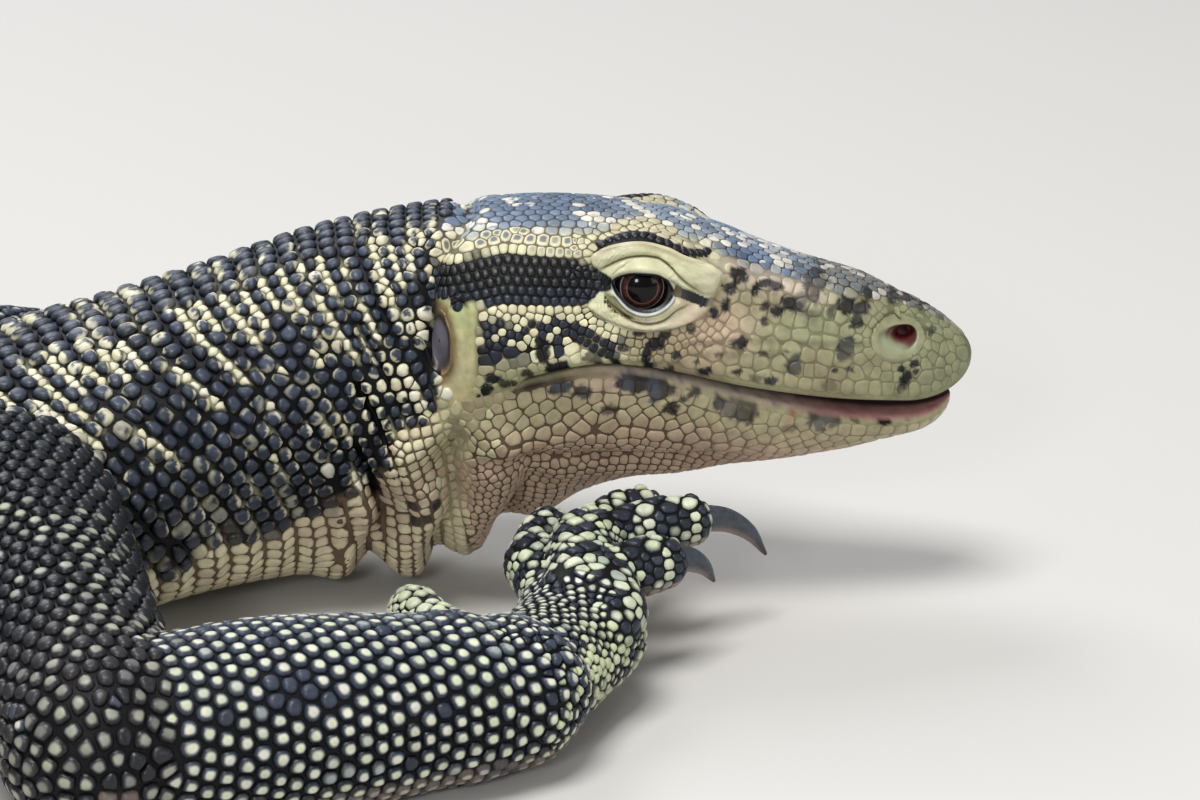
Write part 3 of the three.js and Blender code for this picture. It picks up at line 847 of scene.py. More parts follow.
def paint(mesh: bpy.types.Mesh, colour: Array) -> None:
    """Writes a colour for each point into the attribute Hue."""
    layer = mesh.color_attributes.get("Hue") or mesh.color_attributes.new("Hue", "FLOAT_COLOR", "POINT")
    rgba = np.ones((len(mesh.vertices), 4), np.float32)
    rgba[:, :3] = colour
    layer.data.foreach_set("color", rgba.ravel())


def read_points(mesh: bpy.types.Mesh) -> Array:
    """The mesh's points as an (n, 3) array."""
    flat = np.empty(len(mesh.vertices) * 3, np.float32)
    mesh.vertices.foreach_get("co", flat)
    return flat.reshape(-1, 3).astype(float)


def tube_mesh(rows: list[Array], inward: bool = False) -> tuple[Array, Array, Array]:
    """A closed skin over rings of points; a ring may have half the points of the one before.

    Like rings are joined by squares, a halving by three triangles to each pair of points, and the ends by
    fans about poles at the mean of the end rings.

    Args:
        rows: Rings, each (columns, 3).
        inward: Whether the plain order would face inward.

    Returns:
        Points, squares and triangles.
    """
    counts = [len(r) for r in rows]
    starts = np.concatenate([[0], np.cumsum(counts)])
    verts = np.vstack(rows + [rows[0].mean(0)[None], rows[-1].mean(0)[None]])
    first, last = starts[-1], starts[-1] + 1
    quads, tris = [], []
    for i in range(len(rows) - 1):
        a, b = starts[i], starts[i + 1]
        n = counts[i]
        if counts[i + 1] == n:
            j = np.arange(n)
            k = (j + 1) % n
            quads.append(np.stack([a + j, a + k, b + k, b + j], axis=1))
        else:
            j = np.arange(counts[i + 1])
            k = (j + 1) % counts[i + 1]
            even, odd, after = a + 2 * j, a + 2 * j + 1, a + (2 * j + 2) % n
            tris += [np.stack([even, odd, b + j], axis=1), np.stack([odd, after, b + k], axis=1),
                     np.stack([b + j, odd, b + k], axis=1)]
    j = np.arange(counts[0])
    tris.append(np.stack([np.full_like(j, first), (j + 1) % counts[0], j], axis=1))
    j = np.arange(counts[-1])
    tris.append(np.stack([np.full_like(j, last), starts[-2] + j, starts[-2] + (j + 1) % counts[-1]], axis=1))
    quads, tris = np.vstack(quads), np.vstack(tris)
    if inward:
        quads, tris = quads[:, ::-1], tris[:, ::-1]
    return verts, quads, tris


def even_angles(form_point: Callable[[Array, Array], Array], stations: Array, above: int,
                below: int) -> Array:
    """Angles round each section that part each half into even arcs.

    Args:
        form_point: Function of (s, t) that gives points.
        stations: Distances behind the snout tip.
        above: Arcs from the ridge to the mouth line on one side.
        below: Arcs from the mouth line to the belly's middle on one side.

    Returns:
        Angles from 0 to 2 pi, (stations, 2 * (above + below)).
    """
    halves = []
    samples = 161
    for low, high, count in ((0.0, math.pi / 2, above), (math.pi / 2, math.pi, below)):
        t = np.linspace(low, high, samples)
        # The superellipse's angle bunches points at its shoulders, so the arc is measured first.
        p = form_point(stations[:, None], t[None, :])
        arc = np.concatenate([np.zeros((len(stations), 1)),
                              np.cumsum(np.linalg.norm(np.diff(p, axis=1), axis=2), axis=1)], axis=1)
        arc += np.linspace(0, 1e-6, samples)
        goal = np.linspace(0, 1, count + 1)
        halves.append(np.stack([np.interp(goal * row[-1], row, t) for row in arc]))
    left = np.concatenate([halves[0], halves[1][:, 1:]], axis=1)
    right = 2 * math.pi - left[:, 1:-1][:, ::-1]
    return np.concatenate([left, right], axis=1)


def spaced(low: float, high: float, step: float) -> Array:
    """Even places from low to high, `step` apart or a little less, without the last."""
    count = int(math.ceil((high - low) / step))
    return np.linspace(low, high, count + 1)[:-1]


@dataclass
class Tube:
    """One closed length of the skin before the lengths are joined, with what it knows of each point."""

    name: str
    verts: Array
    quads: Array
    tris: Array
    hue: Array


class Skin:
    """The one skin: body, lower jaw and legs joined, smoothed where they meet, and coloured."""

    def __init__(self, form: BodyForm, relief: Relief, legs: list[Leg], markings: Markings,
                 place: Place) -> None:
        """Keeps what the skin is made from."""
        self.form, self.relief, self.legs, self.markings, self.place = form, relief, legs, markings, place
        self.obj: bpy.types.Object | None = None
        self.tree: BVHTree | None = None

    def body_tube(self) -> Tube:
        """Head, neck, trunk and tail: rings 0.66 mm apart on the head and up to 7.5 mm on the tail."""
        nose_end = self.form.nose_round
        nose = POLE + (nose_end - POLE) * (1 - np.cos(np.linspace(0.06, math.pi / 2, 20)))[:-1]
        fine = np.concatenate([nose, spaced(nose_end, 110, 0.66), spaced(110, 196, 0.95)])
        mid = np.concatenate([spaced(196, 260, 1.9), spaced(260, 600, 4.0)])
        coarse = np.concatenate([spaced(600, 1500, 7.5), 1500 + 19.6 * np.sin(np.linspace(0, 1.45, 8))])
        rows, hues = [], []
        for stations, step in ((fine, 1), (mid, 2), (coarse, 4)):
            angles = even_angles(self.form.upper, stations, 48 // step, 28 // step)
            t = np.where(angles > math.pi, angles - 2 * math.pi, angles)
            s = stations[:, None] * np.ones_like(t)
            p, _ = self.relief.surface(s, t)
            rows += list(p)
            hues += list(self.markings.body(s, t, p))
        verts, quads, tris = tube_mesh(rows)
        hue = np.vstack(hues + [hues[0].mean(0)[None], hues[-1].mean(0)[None]])
        return Tube("body", verts, quads, tris, hue)

    def jaw_tube(self) -> Tube:
        """The lower jaw: rings 0.9 mm apart, closed to a pole inside the throat."""
        start = self.form.jaw_start + POLE
        full = start + self.form.jaw_round
        low, high = self.form.jaw_close
        tip = start + self.form.jaw_round * (1 - np.cos(np.linspace(0.07, math.pi / 2, 16)))[:-1]
        back = low + (high - low) * np.sin(np.linspace(0, math.pi / 2, 22))[:-1]
        stations = np.concatenate([tip, spaced(full, low, 0.9), back])
        angles = even_angles(self.form.jaw, stations, 12, 36)
        t = np.where(angles > math.pi, angles - 2 * math.pi, angles)
        s = stations[:, None] * np.ones_like(t)
        p, _ = self.relief.surface(s, t, lower=True)
        hue = self.markings.jaw(s, t, p).reshape(-1, 3)
        verts, quads, tris = tube_mesh(list(p))
        return Tube("jaw", verts, quads, tris, np.vstack([hue, hue[:1], hue[-1:]]))

    def leg_tubes(self, leg: Leg) -> list[Tube]:
        """The bars of one leg as closed tubes; the right hand's are finer."""
        tubes = []
        for name, bar in leg.bars().items():
            digit = name.startswith("digit")
            if leg.fine:
                step, around = (1.1, 40) if digit else (1.7, 72)
            else:
                step, around = (1.9, 28) if digit else (3.2, 44)
            p, t, angle = bar.grid(step, around)
            t, angle = np.broadcast_arrays(t[:, None], angle[None, :])
            lift = self.markings.leg_lift(name, bar, t, angle, p)
            p = p - grid_normals(p) * lift[..., None]
            hue = self.markings.leg(leg, name, bar, t, angle, p).reshape(-1, 3)
            verts, quads, tris = tube_mesh(list(p), inward=True)
            tubes.append(Tube(name, verts, quads, tris, np.vstack([hue, hue[:1], hue[-1:]])))
        return tubes

    def _object(self, tube: Tube) -> bpy.types.Object:
        """A tube as a mesh object."""
        return add_mesh("tube_" + tube.name, self.place.world(tube.verts), tube.quads, tube.tris)

    @staticmethod
    def _join(base: bpy.types.Object, others: list[bpy.types.Object]) -> None:
        """Joins closed solids into the base, one at a time, and drops them."""
        for other in others:
            mod = base.modifiers.new("join", "BOOLEAN")
            mod.operation = "UNION"
            mod.solver = "MANIFOLD"
            mod.object = other
            bake(base)
            bpy.data.objects.remove(other, do_unlink=True)

    def build(self) -> bpy.types.Object:
        """Joins the tubes, smooths the creases where legs meet the body, and colours the skin.

        Returns:
            The skin's object.
        """
        body, jaw = self.body_tube(), self.jaw_tube()
        tubes = [body, jaw]
        base = self._object(body)
        self._join(base, [self._object(jaw)])
        for leg in self.legs:
            parts = self.leg_tubes(leg)
            tubes += parts
            limb = self._object(parts[0])
            self._join(limb, [self._object(part) for part in parts[1:]])
            self._join(base, [limb])
        self._soften(base)
        base.name = base.data.name = "skin"
        self.obj = base
        self._colour(tubes)
        mesh = base.data
        mesh.polygons.foreach_set("use_smooth", np.ones(len(mesh.polygons), bool))
        faces = [tuple(p.vertices) for p in mesh.polygons]
        self.tree = BVHTree.FromPolygons((read_points(mesh) * 1000).tolist(), faces, all_triangles=False)
        return base

    @staticmethod
    def _sharp_points(mesh: bpy.types.Mesh, edges: Array, degrees: float = 28) -> Array:
        """The points of all edges at which two faces turn by more than an angle.

        Args:
            mesh: The skin's mesh.
            edges: Its edges, (n, 2).
            degrees: The angle.

        Returns:
            Point numbers.
        """
        normals = np.empty(len(mesh.polygons) * 3, np.float32)
        mesh.polygons.foreach_get("normal", normals)
        normals = normals.reshape(-1, 3)
        loops = np.empty(len(mesh.loops), np.int32)
        mesh.loops.foreach_get("edge_index", loops)
        totals = np.empty(len(mesh.polygons), np.int32)
        mesh.polygons.foreach_get("loop_total", totals)
        owner = np.repeat(np.arange(len(totals)), totals)
        order = np.argsort(loops, kind="stable")
        pair_edge, pair_face = loops[order], owner[order]
        same = np.nonzero(pair_edge[1:] == pair_edge[:-1])[0]
        bend = np.einsum("ij,ij->i", normals[pair_face[same]], normals[pair_face[same + 1]])
        return np.unique(edges[pair_edge[same][bend < math.cos(math.radians(degrees))]])

    def _soften(self, base: bpy.types.Object) -> None:
        """Relaxes the skin near the creases between legs, body and digits, and lays it on the floor.

        Each of 14 rounds moves a point 0.6 of the way to its neighbours' mean, times its weight, which is 1 on
        a crease and 0 at `reach` from it.
        """
        mesh = base.data
        p = self.place.local(read_points(mesh))
        edges = np.empty(len(mesh.edges) * 2, np.int32)
        mesh.edges.foreach_get("vertices", edges)
        edges = edges.reshape(-1, 2)
        sharp = p[self._sharp_points(mesh, edges)]
        on_leg = (sharp[:, 0] < -48) | (sharp[:, 2] < 31) & (sharp[:, 1] < -30)
        crease = sharp[on_leg]
        if not len(crease):
            return
        tree = point_tree(crease)
        near = np.array([tree.find(c)[2] for c in p])
        digits = np.zeros(len(p), bool)
        for leg in self.legs:
            digits |= np.linalg.norm(p[:, :2] - leg.joints[2][:2], axis=1) < 95
        reach = np.where(digits | (p[:, 0] > -75), 2.2, 7.0)
        weight = (1 - ease(near, 0.3 * reach, reach)) * np.where(digits | (p[:, 0] < -60), 1, 0)
        count = np.bincount(edges.ravel(), minlength=len(p)).astype(float)
        for _ in range(14):
            total = np.zeros_like(p)
            for axis in range(3):
                total[:, axis] = (np.bincount(edges[:, 0], p[edges[:, 1], axis], len(p))
                                  + np.bincount(edges[:, 1], p[edges[:, 0], axis], len(p)))
            p += (total / np.maximum(count, 1)[:, None] - p) * (0.6 * weight)[:, None]
        p[:, 2] = np.maximum(p[:, 2], FLOOR_CLEAR)
        mesh.vertices.foreach_set("co", self.place.world(p).astype(np.float32).ravel())
        mesh.update()

    def _colour(self, tubes: list[Tube]) -> None:
        """Gives each point of the joined skin the colour of the nearest point of the tubes."""
        hue = np.vstack([t.hue for t in tubes])
        tree = point_tree(np.vstack([t.verts for t in tubes]))
        nearest = np.array([tree.find(c)[1] for c in self.place.local(read_points(self.obj.data))])
        paint(self.obj.data, hue[nearest])

    def from_side(self, back: Array, z: Array, hand: float) -> Array:
        """The finished skin met by a level ray from the side.

        Args:
            back: Distances behind the snout tip.
            z: Heights.
            hand: -1 for the right side, 1 for the left.

        Returns:
            Points; a ray that misses ends in the middle plane.
        """
        shift = np.array(self.place.shift)
        back, z = np.broadcast_arrays(back, z)
        start = np.stack([self.form.snout_x - back, np.full(back.shape, 70.0 * hand), z], axis=-1)
        way = Vector((0, -hand, 0))
        hits = [self.tree.ray_cast(c, way)[0] for c in (start.reshape(-1, 3) + shift).tolist()]
        side = [h[1] - shift[1] if h is not None else 0.0 for h in hits]
        start[..., 1] = np.array(side).reshape(back.shape)
        return start


def bake(obj: bpy.types.Object) -> None:
    """Applies an object's modifiers to its mesh."""
    graph = bpy.context.evaluated_depsgraph_get()
    graph.update()
    mesh = bpy.data.meshes.new_from_object(obj.evaluated_get(graph))
    old = obj.data
    obj.modifiers.clear()
    obj.data = mesh
    bpy.data.meshes.remove(old)


# ---------------------------------------------------------------- markings


def srgb(r: float, g: float, b: float) -> Array:
    """A colour given as 0 to 255 display values, made linear."""
    c = np.array([r, g, b], float) / 255
    return np.where(c <= 0.04045, c / 12.92, ((c + 0.055) / 1.055) ** 2.4)


def blend(a: Array, b: Array, share: Array) -> Array:
    """Colour a moved towards b by a share at each point."""
    share = np.clip(np.asarray(share, float), 0, 1)[..., None]
    return a * (1 - share) + b * share


INK = srgb(8, 9, 12)
NIGHT = srgb(36, 43, 56)
SLATE = srgb(80, 92, 112)
STEEL = srgb(126, 140, 158)
CREAM = srgb(212, 207, 172)
BONE = srgb(214, 210, 198)
STRAW = srgb(170, 168, 130)
LEAF = srgb(140, 148, 112)
TAN = srgb(156, 142, 112)
BLUSH = srgb(186, 160, 138)
MINT = srgb(196, 206, 170)
SEAM = srgb(66, 46, 34)
UMBER = srgb(40, 33, 30)
GREY = srgb(112, 110, 112)

# Dark marks on the right and left sides of the head: (back, height, half length, half height, weight).
LIP_MARKS = (
    (85, 56, 1.6, 2.4, 1), (81.5, 52.4, 2.8, 1.5, 1), (76.3, 51.4, 0.8, 0.9, 1), (73.8, 52.6, 0.9, 0.6, 1),
    (70.8, 52.9, 1.2, 0.8, 1), (75.3, 54.4, 1.7, 1.0, 0.8), (72.1, 55.2, 1.4, 0.8, 0.75),
    (69.2, 55.8, 1.2, 0.7, 0.9), (66.3, 58.6, 1.3, 0.8, 0.95), (61.2, 57.6, 1.1, 0.8, 0.95),
    (63.2, 56.2, 1.8, 1.1, 1), (64.9, 54.1, 1.0, 1.7, 1), (64.1, 52.0, 1.1, 0.7, 1),
    (60.2, 50.9, 1.1, 0.9, 1), (59.1, 53.8, 0.7, 0.6, 0.95), (56.2, 58.9, 0.9, 0.9, 0.8),
    (54.9, 52.3, 0.6, 0.4, 0.9), (53.6, 50.6, 1.6, 0.9, 1), (51.5, 61.6, 1.0, 1.0, 1),
    (49.5, 62.6, 0.9, 1.5, 1), (46.9, 67.6, 2.1, 1.7, 0.95), (48.6, 65.6, 1.5, 1.2, 0.95),
    (43.5, 64.8, 0.9, 1.1, 1), (41.8, 65.8, 1.4, 0.7, 0.95), (39.6, 65.2, 1.2, 0.8, 0.9),
    (41.5, 61.6, 1.1, 0.7, 0.9), (41.8, 59.2, 0.6, 0.8, 0.9), (36.5, 61.8, 2.1, 1.4, 0.95),
    (39.4, 60.8, 1.6, 0.8, 0.95), (46.6, 55.6, 1.5, 1.2, 1), (47.1, 50.1, 1.0, 0.5, 0.95),
    (50.4, 53.6, 0.8, 0.5, 0.7), (42.1, 53.3, 0.6, 0.5, 0.8), (37.6, 53.2, 0.5, 0.4, 0.8),
    (36.1, 50.6, 1.6, 2.0, 0.85), (43.7, 48.7, 1.3, 0.9, 0.5), (40.4, 47.8, 1.1, 0.8, 1),
    (32.0, 64.6, 2.4, 2.0, 0.7), (28.9, 60.4, 1.0, 1.4, 0.7), (25.7, 60.9, 1.7, 1.5, 0.95),
    (22.8, 60.3, 1.7, 1.2, 0.95), (23.8, 57.9, 1.3, 1.1, 0.9), (25.9, 53.2, 1.7, 2.3, 0.85),
    (25.2, 49.2, 0.7, 0.7, 0.9), (28.2, 49.2, 0.5, 0.4, 0.9), (29.0, 46.4, 2.2, 0.9, 0.5),
    (14.2, 46.6, 1.5, 1.2, 1), (12.4, 49.5, 0.7, 0.6, 0.95), (15.0, 48.7, 0.6, 0.6, 0.95),
    (12.0, 47.8, 0.6, 0.5, 0.9), (15.1, 44.9, 0.9, 0.8, 0.7), (16.6, 60.8, 1.2, 0.7, 0.8),
    (9.0, 54.8, 0.9, 0.8, 0.7), (87.5, 51.5, 1.4, 1.0, 0.9), (91.5, 49.5, 2.0, 1.0, 0.9),
    (94.5, 46.5, 1.6, 1.0, 0.9), (94.2, 50.6, 1.4, 1.0, 1), (95.4, 48.6, 1.4, 1.0, 1),
    (96.2, 46.6, 1.4, 1.0, 1), (96.8, 44.8, 1.4, 0.9, 1),
)
JAW_MARKS = (
    (86.5, 49, 2.4, 1.2, 0.95), (81, 47.8, 2.4, 1.4, 0.95), (77, 46.4, 1.8, 1.2, 0.9),
    (66, 48.0, 3.8, 2.3, 0.95), (62, 45.8, 3.0, 2.0, 0.9), (60, 42.4, 1.7, 1.4, 0.95),
    (50.6, 43.1, 1.0, 1.7, 0.95), (47.6, 42, 2.6, 1.9, 0.75), (45.6, 40.3, 2.3, 1.7, 0.85),
    (44.3, 42.1, 1.5, 1.7, 0.7), (39.5, 42.3, 0.6, 0.5, 0.8), (31.1, 38.7, 1.9, 2.2, 0.85),
    (28.3, 38.9, 1.6, 1.9, 0.8), (32.9, 38.6, 0.5, 1.0, 0.9), (18, 38.2, 1.4, 1.3, 1),
    (19.8, 39.0, 0.9, 0.4, 0.8), (23.5, 38.2, 0.8, 0.6, 0.7), (36.5, 37.4, 1.6, 0.9, 0.5),
    (13.2, 38.0, 0.7, 0.5, 0.7), (72, 42.6, 1.8, 1.0, 0.8), (55.5, 45.5, 1.2, 0.8, 0.9),
    (57.5, 44.2, 0.7, 0.5, 0.9),
)


@dataclass
class Markings:
    """The colours of skin and scales, worked out from the place on the body.

    `core` is 1 at the middle of a scale and 0 at its rim. `root` is the scale's middle, so that what is worked
    out there fills whole scales. `u` and `v` are millimetres along and across its row.
    """

    form: BodyForm
    relief: Relief
    broad: Mottle = Mottle(9.0, 3)
    small: Mottle = Mottle(2.6, 5)
    tiny: Mottle = Mottle(1.1, 8)
    each: Mottle = Mottle(0.31, 77)

    @staticmethod
    def marks(back: Array, z: Array, table: tuple[tuple[float, ...], ...], wobble: Array) -> Array:
        """The strongest dark mark at each place, with its edge moved in and out by `wobble`.

        Args:
            back: Distance behind the snout tip.
            z: Height.
            table: Marks as (back, height, half length, half height, weight).
            wobble: Noise from -1 to 1.

        Returns:
            Shares from 0 to 1.
        """
        total = np.zeros(np.shape(back))
        for at, high, half, tall, weight in table:
            d = np.sqrt(((back - at) / (half + 0.15)) ** 2 + ((z - high) / (tall + 0.15)) ** 2)
            total = np.maximum(total, weight * (1 - ease(d + 0.42 * wobble, 0.84, 1.06)))
        return total

    @staticmethod
    def brow(back: Array) -> Array:
        """Height of the edge between crown and side of the head."""
        return np.interp(back, [0, 8, 16, 30, 44, 54, 65, 80, 95, 105],
                         [52, 57, 60.5, 64.4, 68.8, 73.0, 76.2, 75.8, 74.8, 73])

    @staticmethod
    def pale_line(s: Array) -> Array:
        """How far round from the ridge the pale throat and belly begin, as a share of the half way round."""
        return np.interp(s, [95, 104, 120, 150, 200, 300, 520, 700, 1520],
                         [0.40, 0.50, 0.61, 0.65, 0.66, 0.70, 0.70, 0.72, 0.9])

    def temple(self, back: Array, z: Array) -> Array:
        """The black band from behind the eye to over the ear: its share at each place."""
        low = np.interp(back, [66, 72, 78, 84, 92, 104, 110], [65.6, 65.2, 64.6, 64.2, 64.6, 65.2, 66])
        high = np.interp(back, [66, 72, 77, 84, 92, 98, 104, 110],
                         [67.8, 69.6, 71.6, 73.0, 73.6, 72.8, 70.4, 68])
        return ease(z, low - 0.3, low + 0.3) * (1 - ease(z, high - 0.3, high + 0.3)) * ease(back, 70, 71.5)

    def head(self, s: Array, t: Array, p: Array, core: Array, root: Array | None = None,
             u: Array | None = None, v: Array | None = None) -> Array:
        """Colours of the head above the mouth.

        Args:
            s: Distance behind the snout tip.
            t: Angle round the section.
            p: Points.
            core: 1 mid-scale, 0 at the rim.
            root: Middles of the scales.
            u: Millimetres along the row.
            v: Millimetres across the rows.

        Returns:
            Linear colours, (..., 3).
        """
        z, back = p[..., 2], self.form.snout_x - p[..., 0]
        r = p if root is None else root
        rz, rb = r[..., 2], self.form.snout_x - r[..., 0]
        n1, n2, n3 = self.broad(p), self.small(p), self.tiny(p)
        m2, one = self.small(r), self.each(r)
        # Side of the snout and cheek: tan and straw, greener towards the nose and along the lip.
        hue = blend(np.ones(p.shape) * TAN * 0.76, STRAW * 0.77, 0.45 + 0.5 * n1)
        hue = blend(hue, LEAF * 0.78, (1 - ease(back, 10, 36)) * 0.75 * (0.8 + 0.3 * n2))
        hue = blend(hue, LEAF, hump(back, 37, 11) * hump(z, 57, 3) * 0.6)
        hue = blend(hue, STRAW, ease(back, 58, 76) * 0.7)
        hue = blend(hue, BLUSH, hump(back, 51, 5.5) * hump(z, 58.5, 3.6) * 0.75)
        canthus = hump(z, np.interp(back, [26, 36, 46, 54], [62.6, 64.6, 68.4, 71.6]), 1.5)
        hue = blend(hue, srgb(196, 182, 166), canthus * ease(back, 24, 34) * (1 - ease(back, 52, 60)) * 0.8)
        # Cheek behind the eye: slate scales with cream ones among them, in slanting lines.
        cheek = ease(rb, 67, 71) * (1 - ease(rb, 96.5, 97.5)) * ease(rz, 52.5, 54.5)
        cheek *= 1 - ease(rz, 63.0, 63.6)
        streak = m2
        if u is not None:
            streak = 1.1 * Mottle(1.0, 51)(np.stack([u / 4.4, v / 1.9, 0 * u], axis=-1)) + 0.35 * m2
        low = np.interp(rb, [67, 72, 80, 90, 97], [0.2, 0.05, -0.12, -0.22, -0.4])
        low = low + 0.5 * (1 - ease(rz, 53.5, 56.5)) * (1 - ease(rb, 84, 92))
        dark = ease(streak, low - 0.04, low + 0.04) * cheek
        hue = blend(hue, CREAM * 1.1, cheek * 0.88)
        hue = blend(hue, blend(NIGHT * np.ones(p.shape), INK, 0.5 - 0.5 * n2), dark)
        brow = self.brow(rb)
        top = ease(rz, brow - 0.3, brow + 0.3)
        hue = blend(hue, self._crown(p, r), top)
        edge = hump(z, self.brow(back) - 1.3, 1.3) * ease(back, 46, 54) * (1 - ease(back, 104, 107))
        hue = blend(hue, CREAM * 1.05, edge * 0.9)
        rough = ease(n2 + 0.6 * n3, 0.1, 0.5) * hump(back, 28, 9) * hump(z, 62.5, 3.0)
        hue = blend(hue, GREY * 0.35, rough * 0.8)
        # The row of cream scales with slate middles, the black temple, the cream scales below it, the beads.
        high = np.interp(rb, [78, 92, 104], [74.2, 75.4, 72.6])
        row = ease(rb, 76, 79) * (1 - ease(np.abs(rz - high), 1.0, 1.4))
        hue = blend(hue, CREAM, row * 0.9)
        hue = blend(hue, SLATE * 0.8, row * ease(core, 0.5, 0.8) * ease(one, -0.6, -0.2) * 0.85)
        band = self.temple(rb, rz)
        under = self.temple(rb, rz + 2.6) * (1 - band) * ease(rb, 76, 79)
        hue = blend(hue, CREAM, under * 0.95)
        # The black band is near black, and its lower rows are bluer as a painted sheen.
        hue = blend(hue, blend(INK * np.ones(p.shape), NIGHT, (1 - ease(rz, 65, 69)) * 0.8), band)
        beyond = LIDS.beyond(rb, rz)
        over = (rz > np.interp(rb, [48, 56, 78], [70.4, 72.0, 72.6])) & (rb > 49.0) & (rb < 76.8)
        hue = blend(hue, blend(CREAM, TAN, 0.5 + 0.5 * n2), ((beyond < 2.0) & over) * 0.85)
        beads = (beyond > -0.4) & (beyond < 0.8) & over & (root is None)
        hue = blend(hue, INK, beads)
        marks = self.marks(back, z, LIP_MARKS, n3)
        ink = blend(INK * 1.3 * np.ones(p.shape), GREY * 0.5, ease(n2, -0.2, 0.5) * hump(back, 30, 14) * 0.5)
        hue = blend(hue, ink, marks)
        rim = ease(back, 96.8, 97.8) * (1 - ease(back, 105.4, 106.4))
        rim = rim * (1 - ease(z, 64.4, 65.4)) * ease(z, 41, 45)
        if root is None:
            hue = blend(hue, self._ear_rim(p), rim)
        hue = hue * (1 + 0.10 * one)[..., None]
        nape = ease(rb, 104, 106)
        hue = blend(hue, self.neck(s, t, p, core, root=root), nape)
        over_lip = z - self.form.middle(s)
        seam = blend(hue * 0.34, SEAM * 0.9, 0.45)
        seam = blend(seam, hue * 0.72, (1 - ease(rb, 54, 66)) * (1 - top) * 0.85)
        seam = blend(seam, INK * 0.6, np.maximum(np.maximum(band, beads), dark * 0.8))
        seam = blend(seam, hue * 0.8, (1 - ease(over_lip, 2.4, 5.0)) * 0.8)
        if root is None:
            seam = blend(seam, hue, np.maximum(rim, 1 - ease(over_lip, 1.0, 2.2)))
        return blend(seam, hue, ease(core, 0.0, 0.1))

    def _crown(self, p: Array, r: Array) -> Array:
        """The crown's colours: slate blue with cream blotches, greyer and flecked towards the nose.

        Args:
            p: Points.
            r: Middles of the scales, or the points of the bare skin.

        Returns:
            Linear colours, (..., 3).
        """
        rb = self.form.snout_x - r[..., 0]
        m1, m2, one, fleck = self.broad(r), self.small(r), self.each(r), self.each(r + 9.0)
        crown = blend(np.ones(p.shape) * SLATE, STEEL, 0.5 + 0.55 * m1 + 0.3 * one)
        crown = blend(crown, NIGHT, hump(rb, 22, 9) * ease(m2, -0.1, 0.3) * 0.8)
        pale = ease(m2 + 0.55 * m1 + 0.3 * hump(rb, 46, 12) + 0.25 * self.tiny(p), 0.42, 0.50)
        pale *= 1 - 0.6 * (1 - ease(rb, 58, 72)) * ease(one, -0.1, 0.1)
        crown = blend(crown * np.array([0.85, 0.93, 1.0]), BONE, pale * 0.92)
        snout = 1 - ease(rb, 26, 40)
        crown = blend(crown, srgb(112, 110, 98), snout * 0.7)
        crown = blend(crown, srgb(196, 190, 180), snout * ease(fleck, 0.25, 0.35) * hump(rb, 27, 12) * 0.9)
        return blend(crown, INK * 2.0, snout * (1 - ease(fleck, -0.45, -0.35)) * 0.85)

    def _ear_rim(self, p: Array) -> Array:
        """The ear's rim: smooth and straw green, with painted shade along its front edge and browner painted
        shade towards the opening.
        """
        z, back = p[..., 2], self.form.snout_x - p[..., 0]
        around = np.hypot((back - EAR[0]) / 2.9, (z - EAR[1]) / 6.4)
        mix = 0.5 + 0.4 * self.broad(p) + 0.2 * self.small(p)
        skin = blend(np.ones(p.shape) * srgb(206, 202, 158), srgb(186, 174, 132), mix)
        skin = blend(skin, srgb(180, 190, 136), ease(z, 54, 63) * 0.8)
        # A darker streaky mottle: painted shade of fine wrinkles.
        creases = Mottle(0.75, 17)(p * np.array([1, 1, 0.5]))
        skin = blend(skin, srgb(150, 134, 96), ease(creases, 0.1, 0.5) * 0.3)
        # Painted shade along the rim's front edge, against the cheek's scales.
        skin = blend(skin, srgb(124, 108, 76), hump(back, 97.3, 0.8) * 0.55)
        # Browner painted shade towards the ear's opening.
        return blend(skin, srgb(120, 94, 62), (1 - ease(around, 1.08, 1.45)) * 0.8)

    def neck(self, s: Array, t: Array, p: Array, core: Array, u: Array | None = None,
             v: Array | None = None, turn: Array | None = None, down: Array | None = None,
             root: Array | None = None) -> Array:
        """Colours of neck, trunk and tail.

        Args:
            s: Distance behind the snout tip.
            t: Angle round the section.
            p: Points.
            core: 1 mid-scale, 0 at the rim.
            u: Millimetres from the scale's middle along its row; none for the bare skin.
            v: Millimetres from the scale's middle across its row.
            turn: Sine of the place round the scale, 1 on its rear side.
            down: Cosine of the place round the scale, 1 on its lower side.
            root: Middles of the scales.

        Returns:
            Linear colours, (..., 3).
        """
        r = p if root is None else root
        n1, n3 = self.broad(p), self.tiny(p)
        m1, m2, one = self.broad(r), self.small(r), self.each(r)
        share = np.abs(t) / math.pi
        hue = blend(np.ones(p.shape) * NIGHT, SLATE * 0.7, 0.4 + 0.4 * m1 + 0.35 * one)
        hue = blend(hue, INK * 1.6, ease(share, 0.3, 0.6) * 0.45)
        # Each scale darkens towards its rim. This is partly the joints' own dark skin and partly painted shade,
        # which leaves its crown lighter as a painted highlight.
        hue = blend(hue, INK, (1 - ease(core, 0.15, 0.6)) * 0.8)
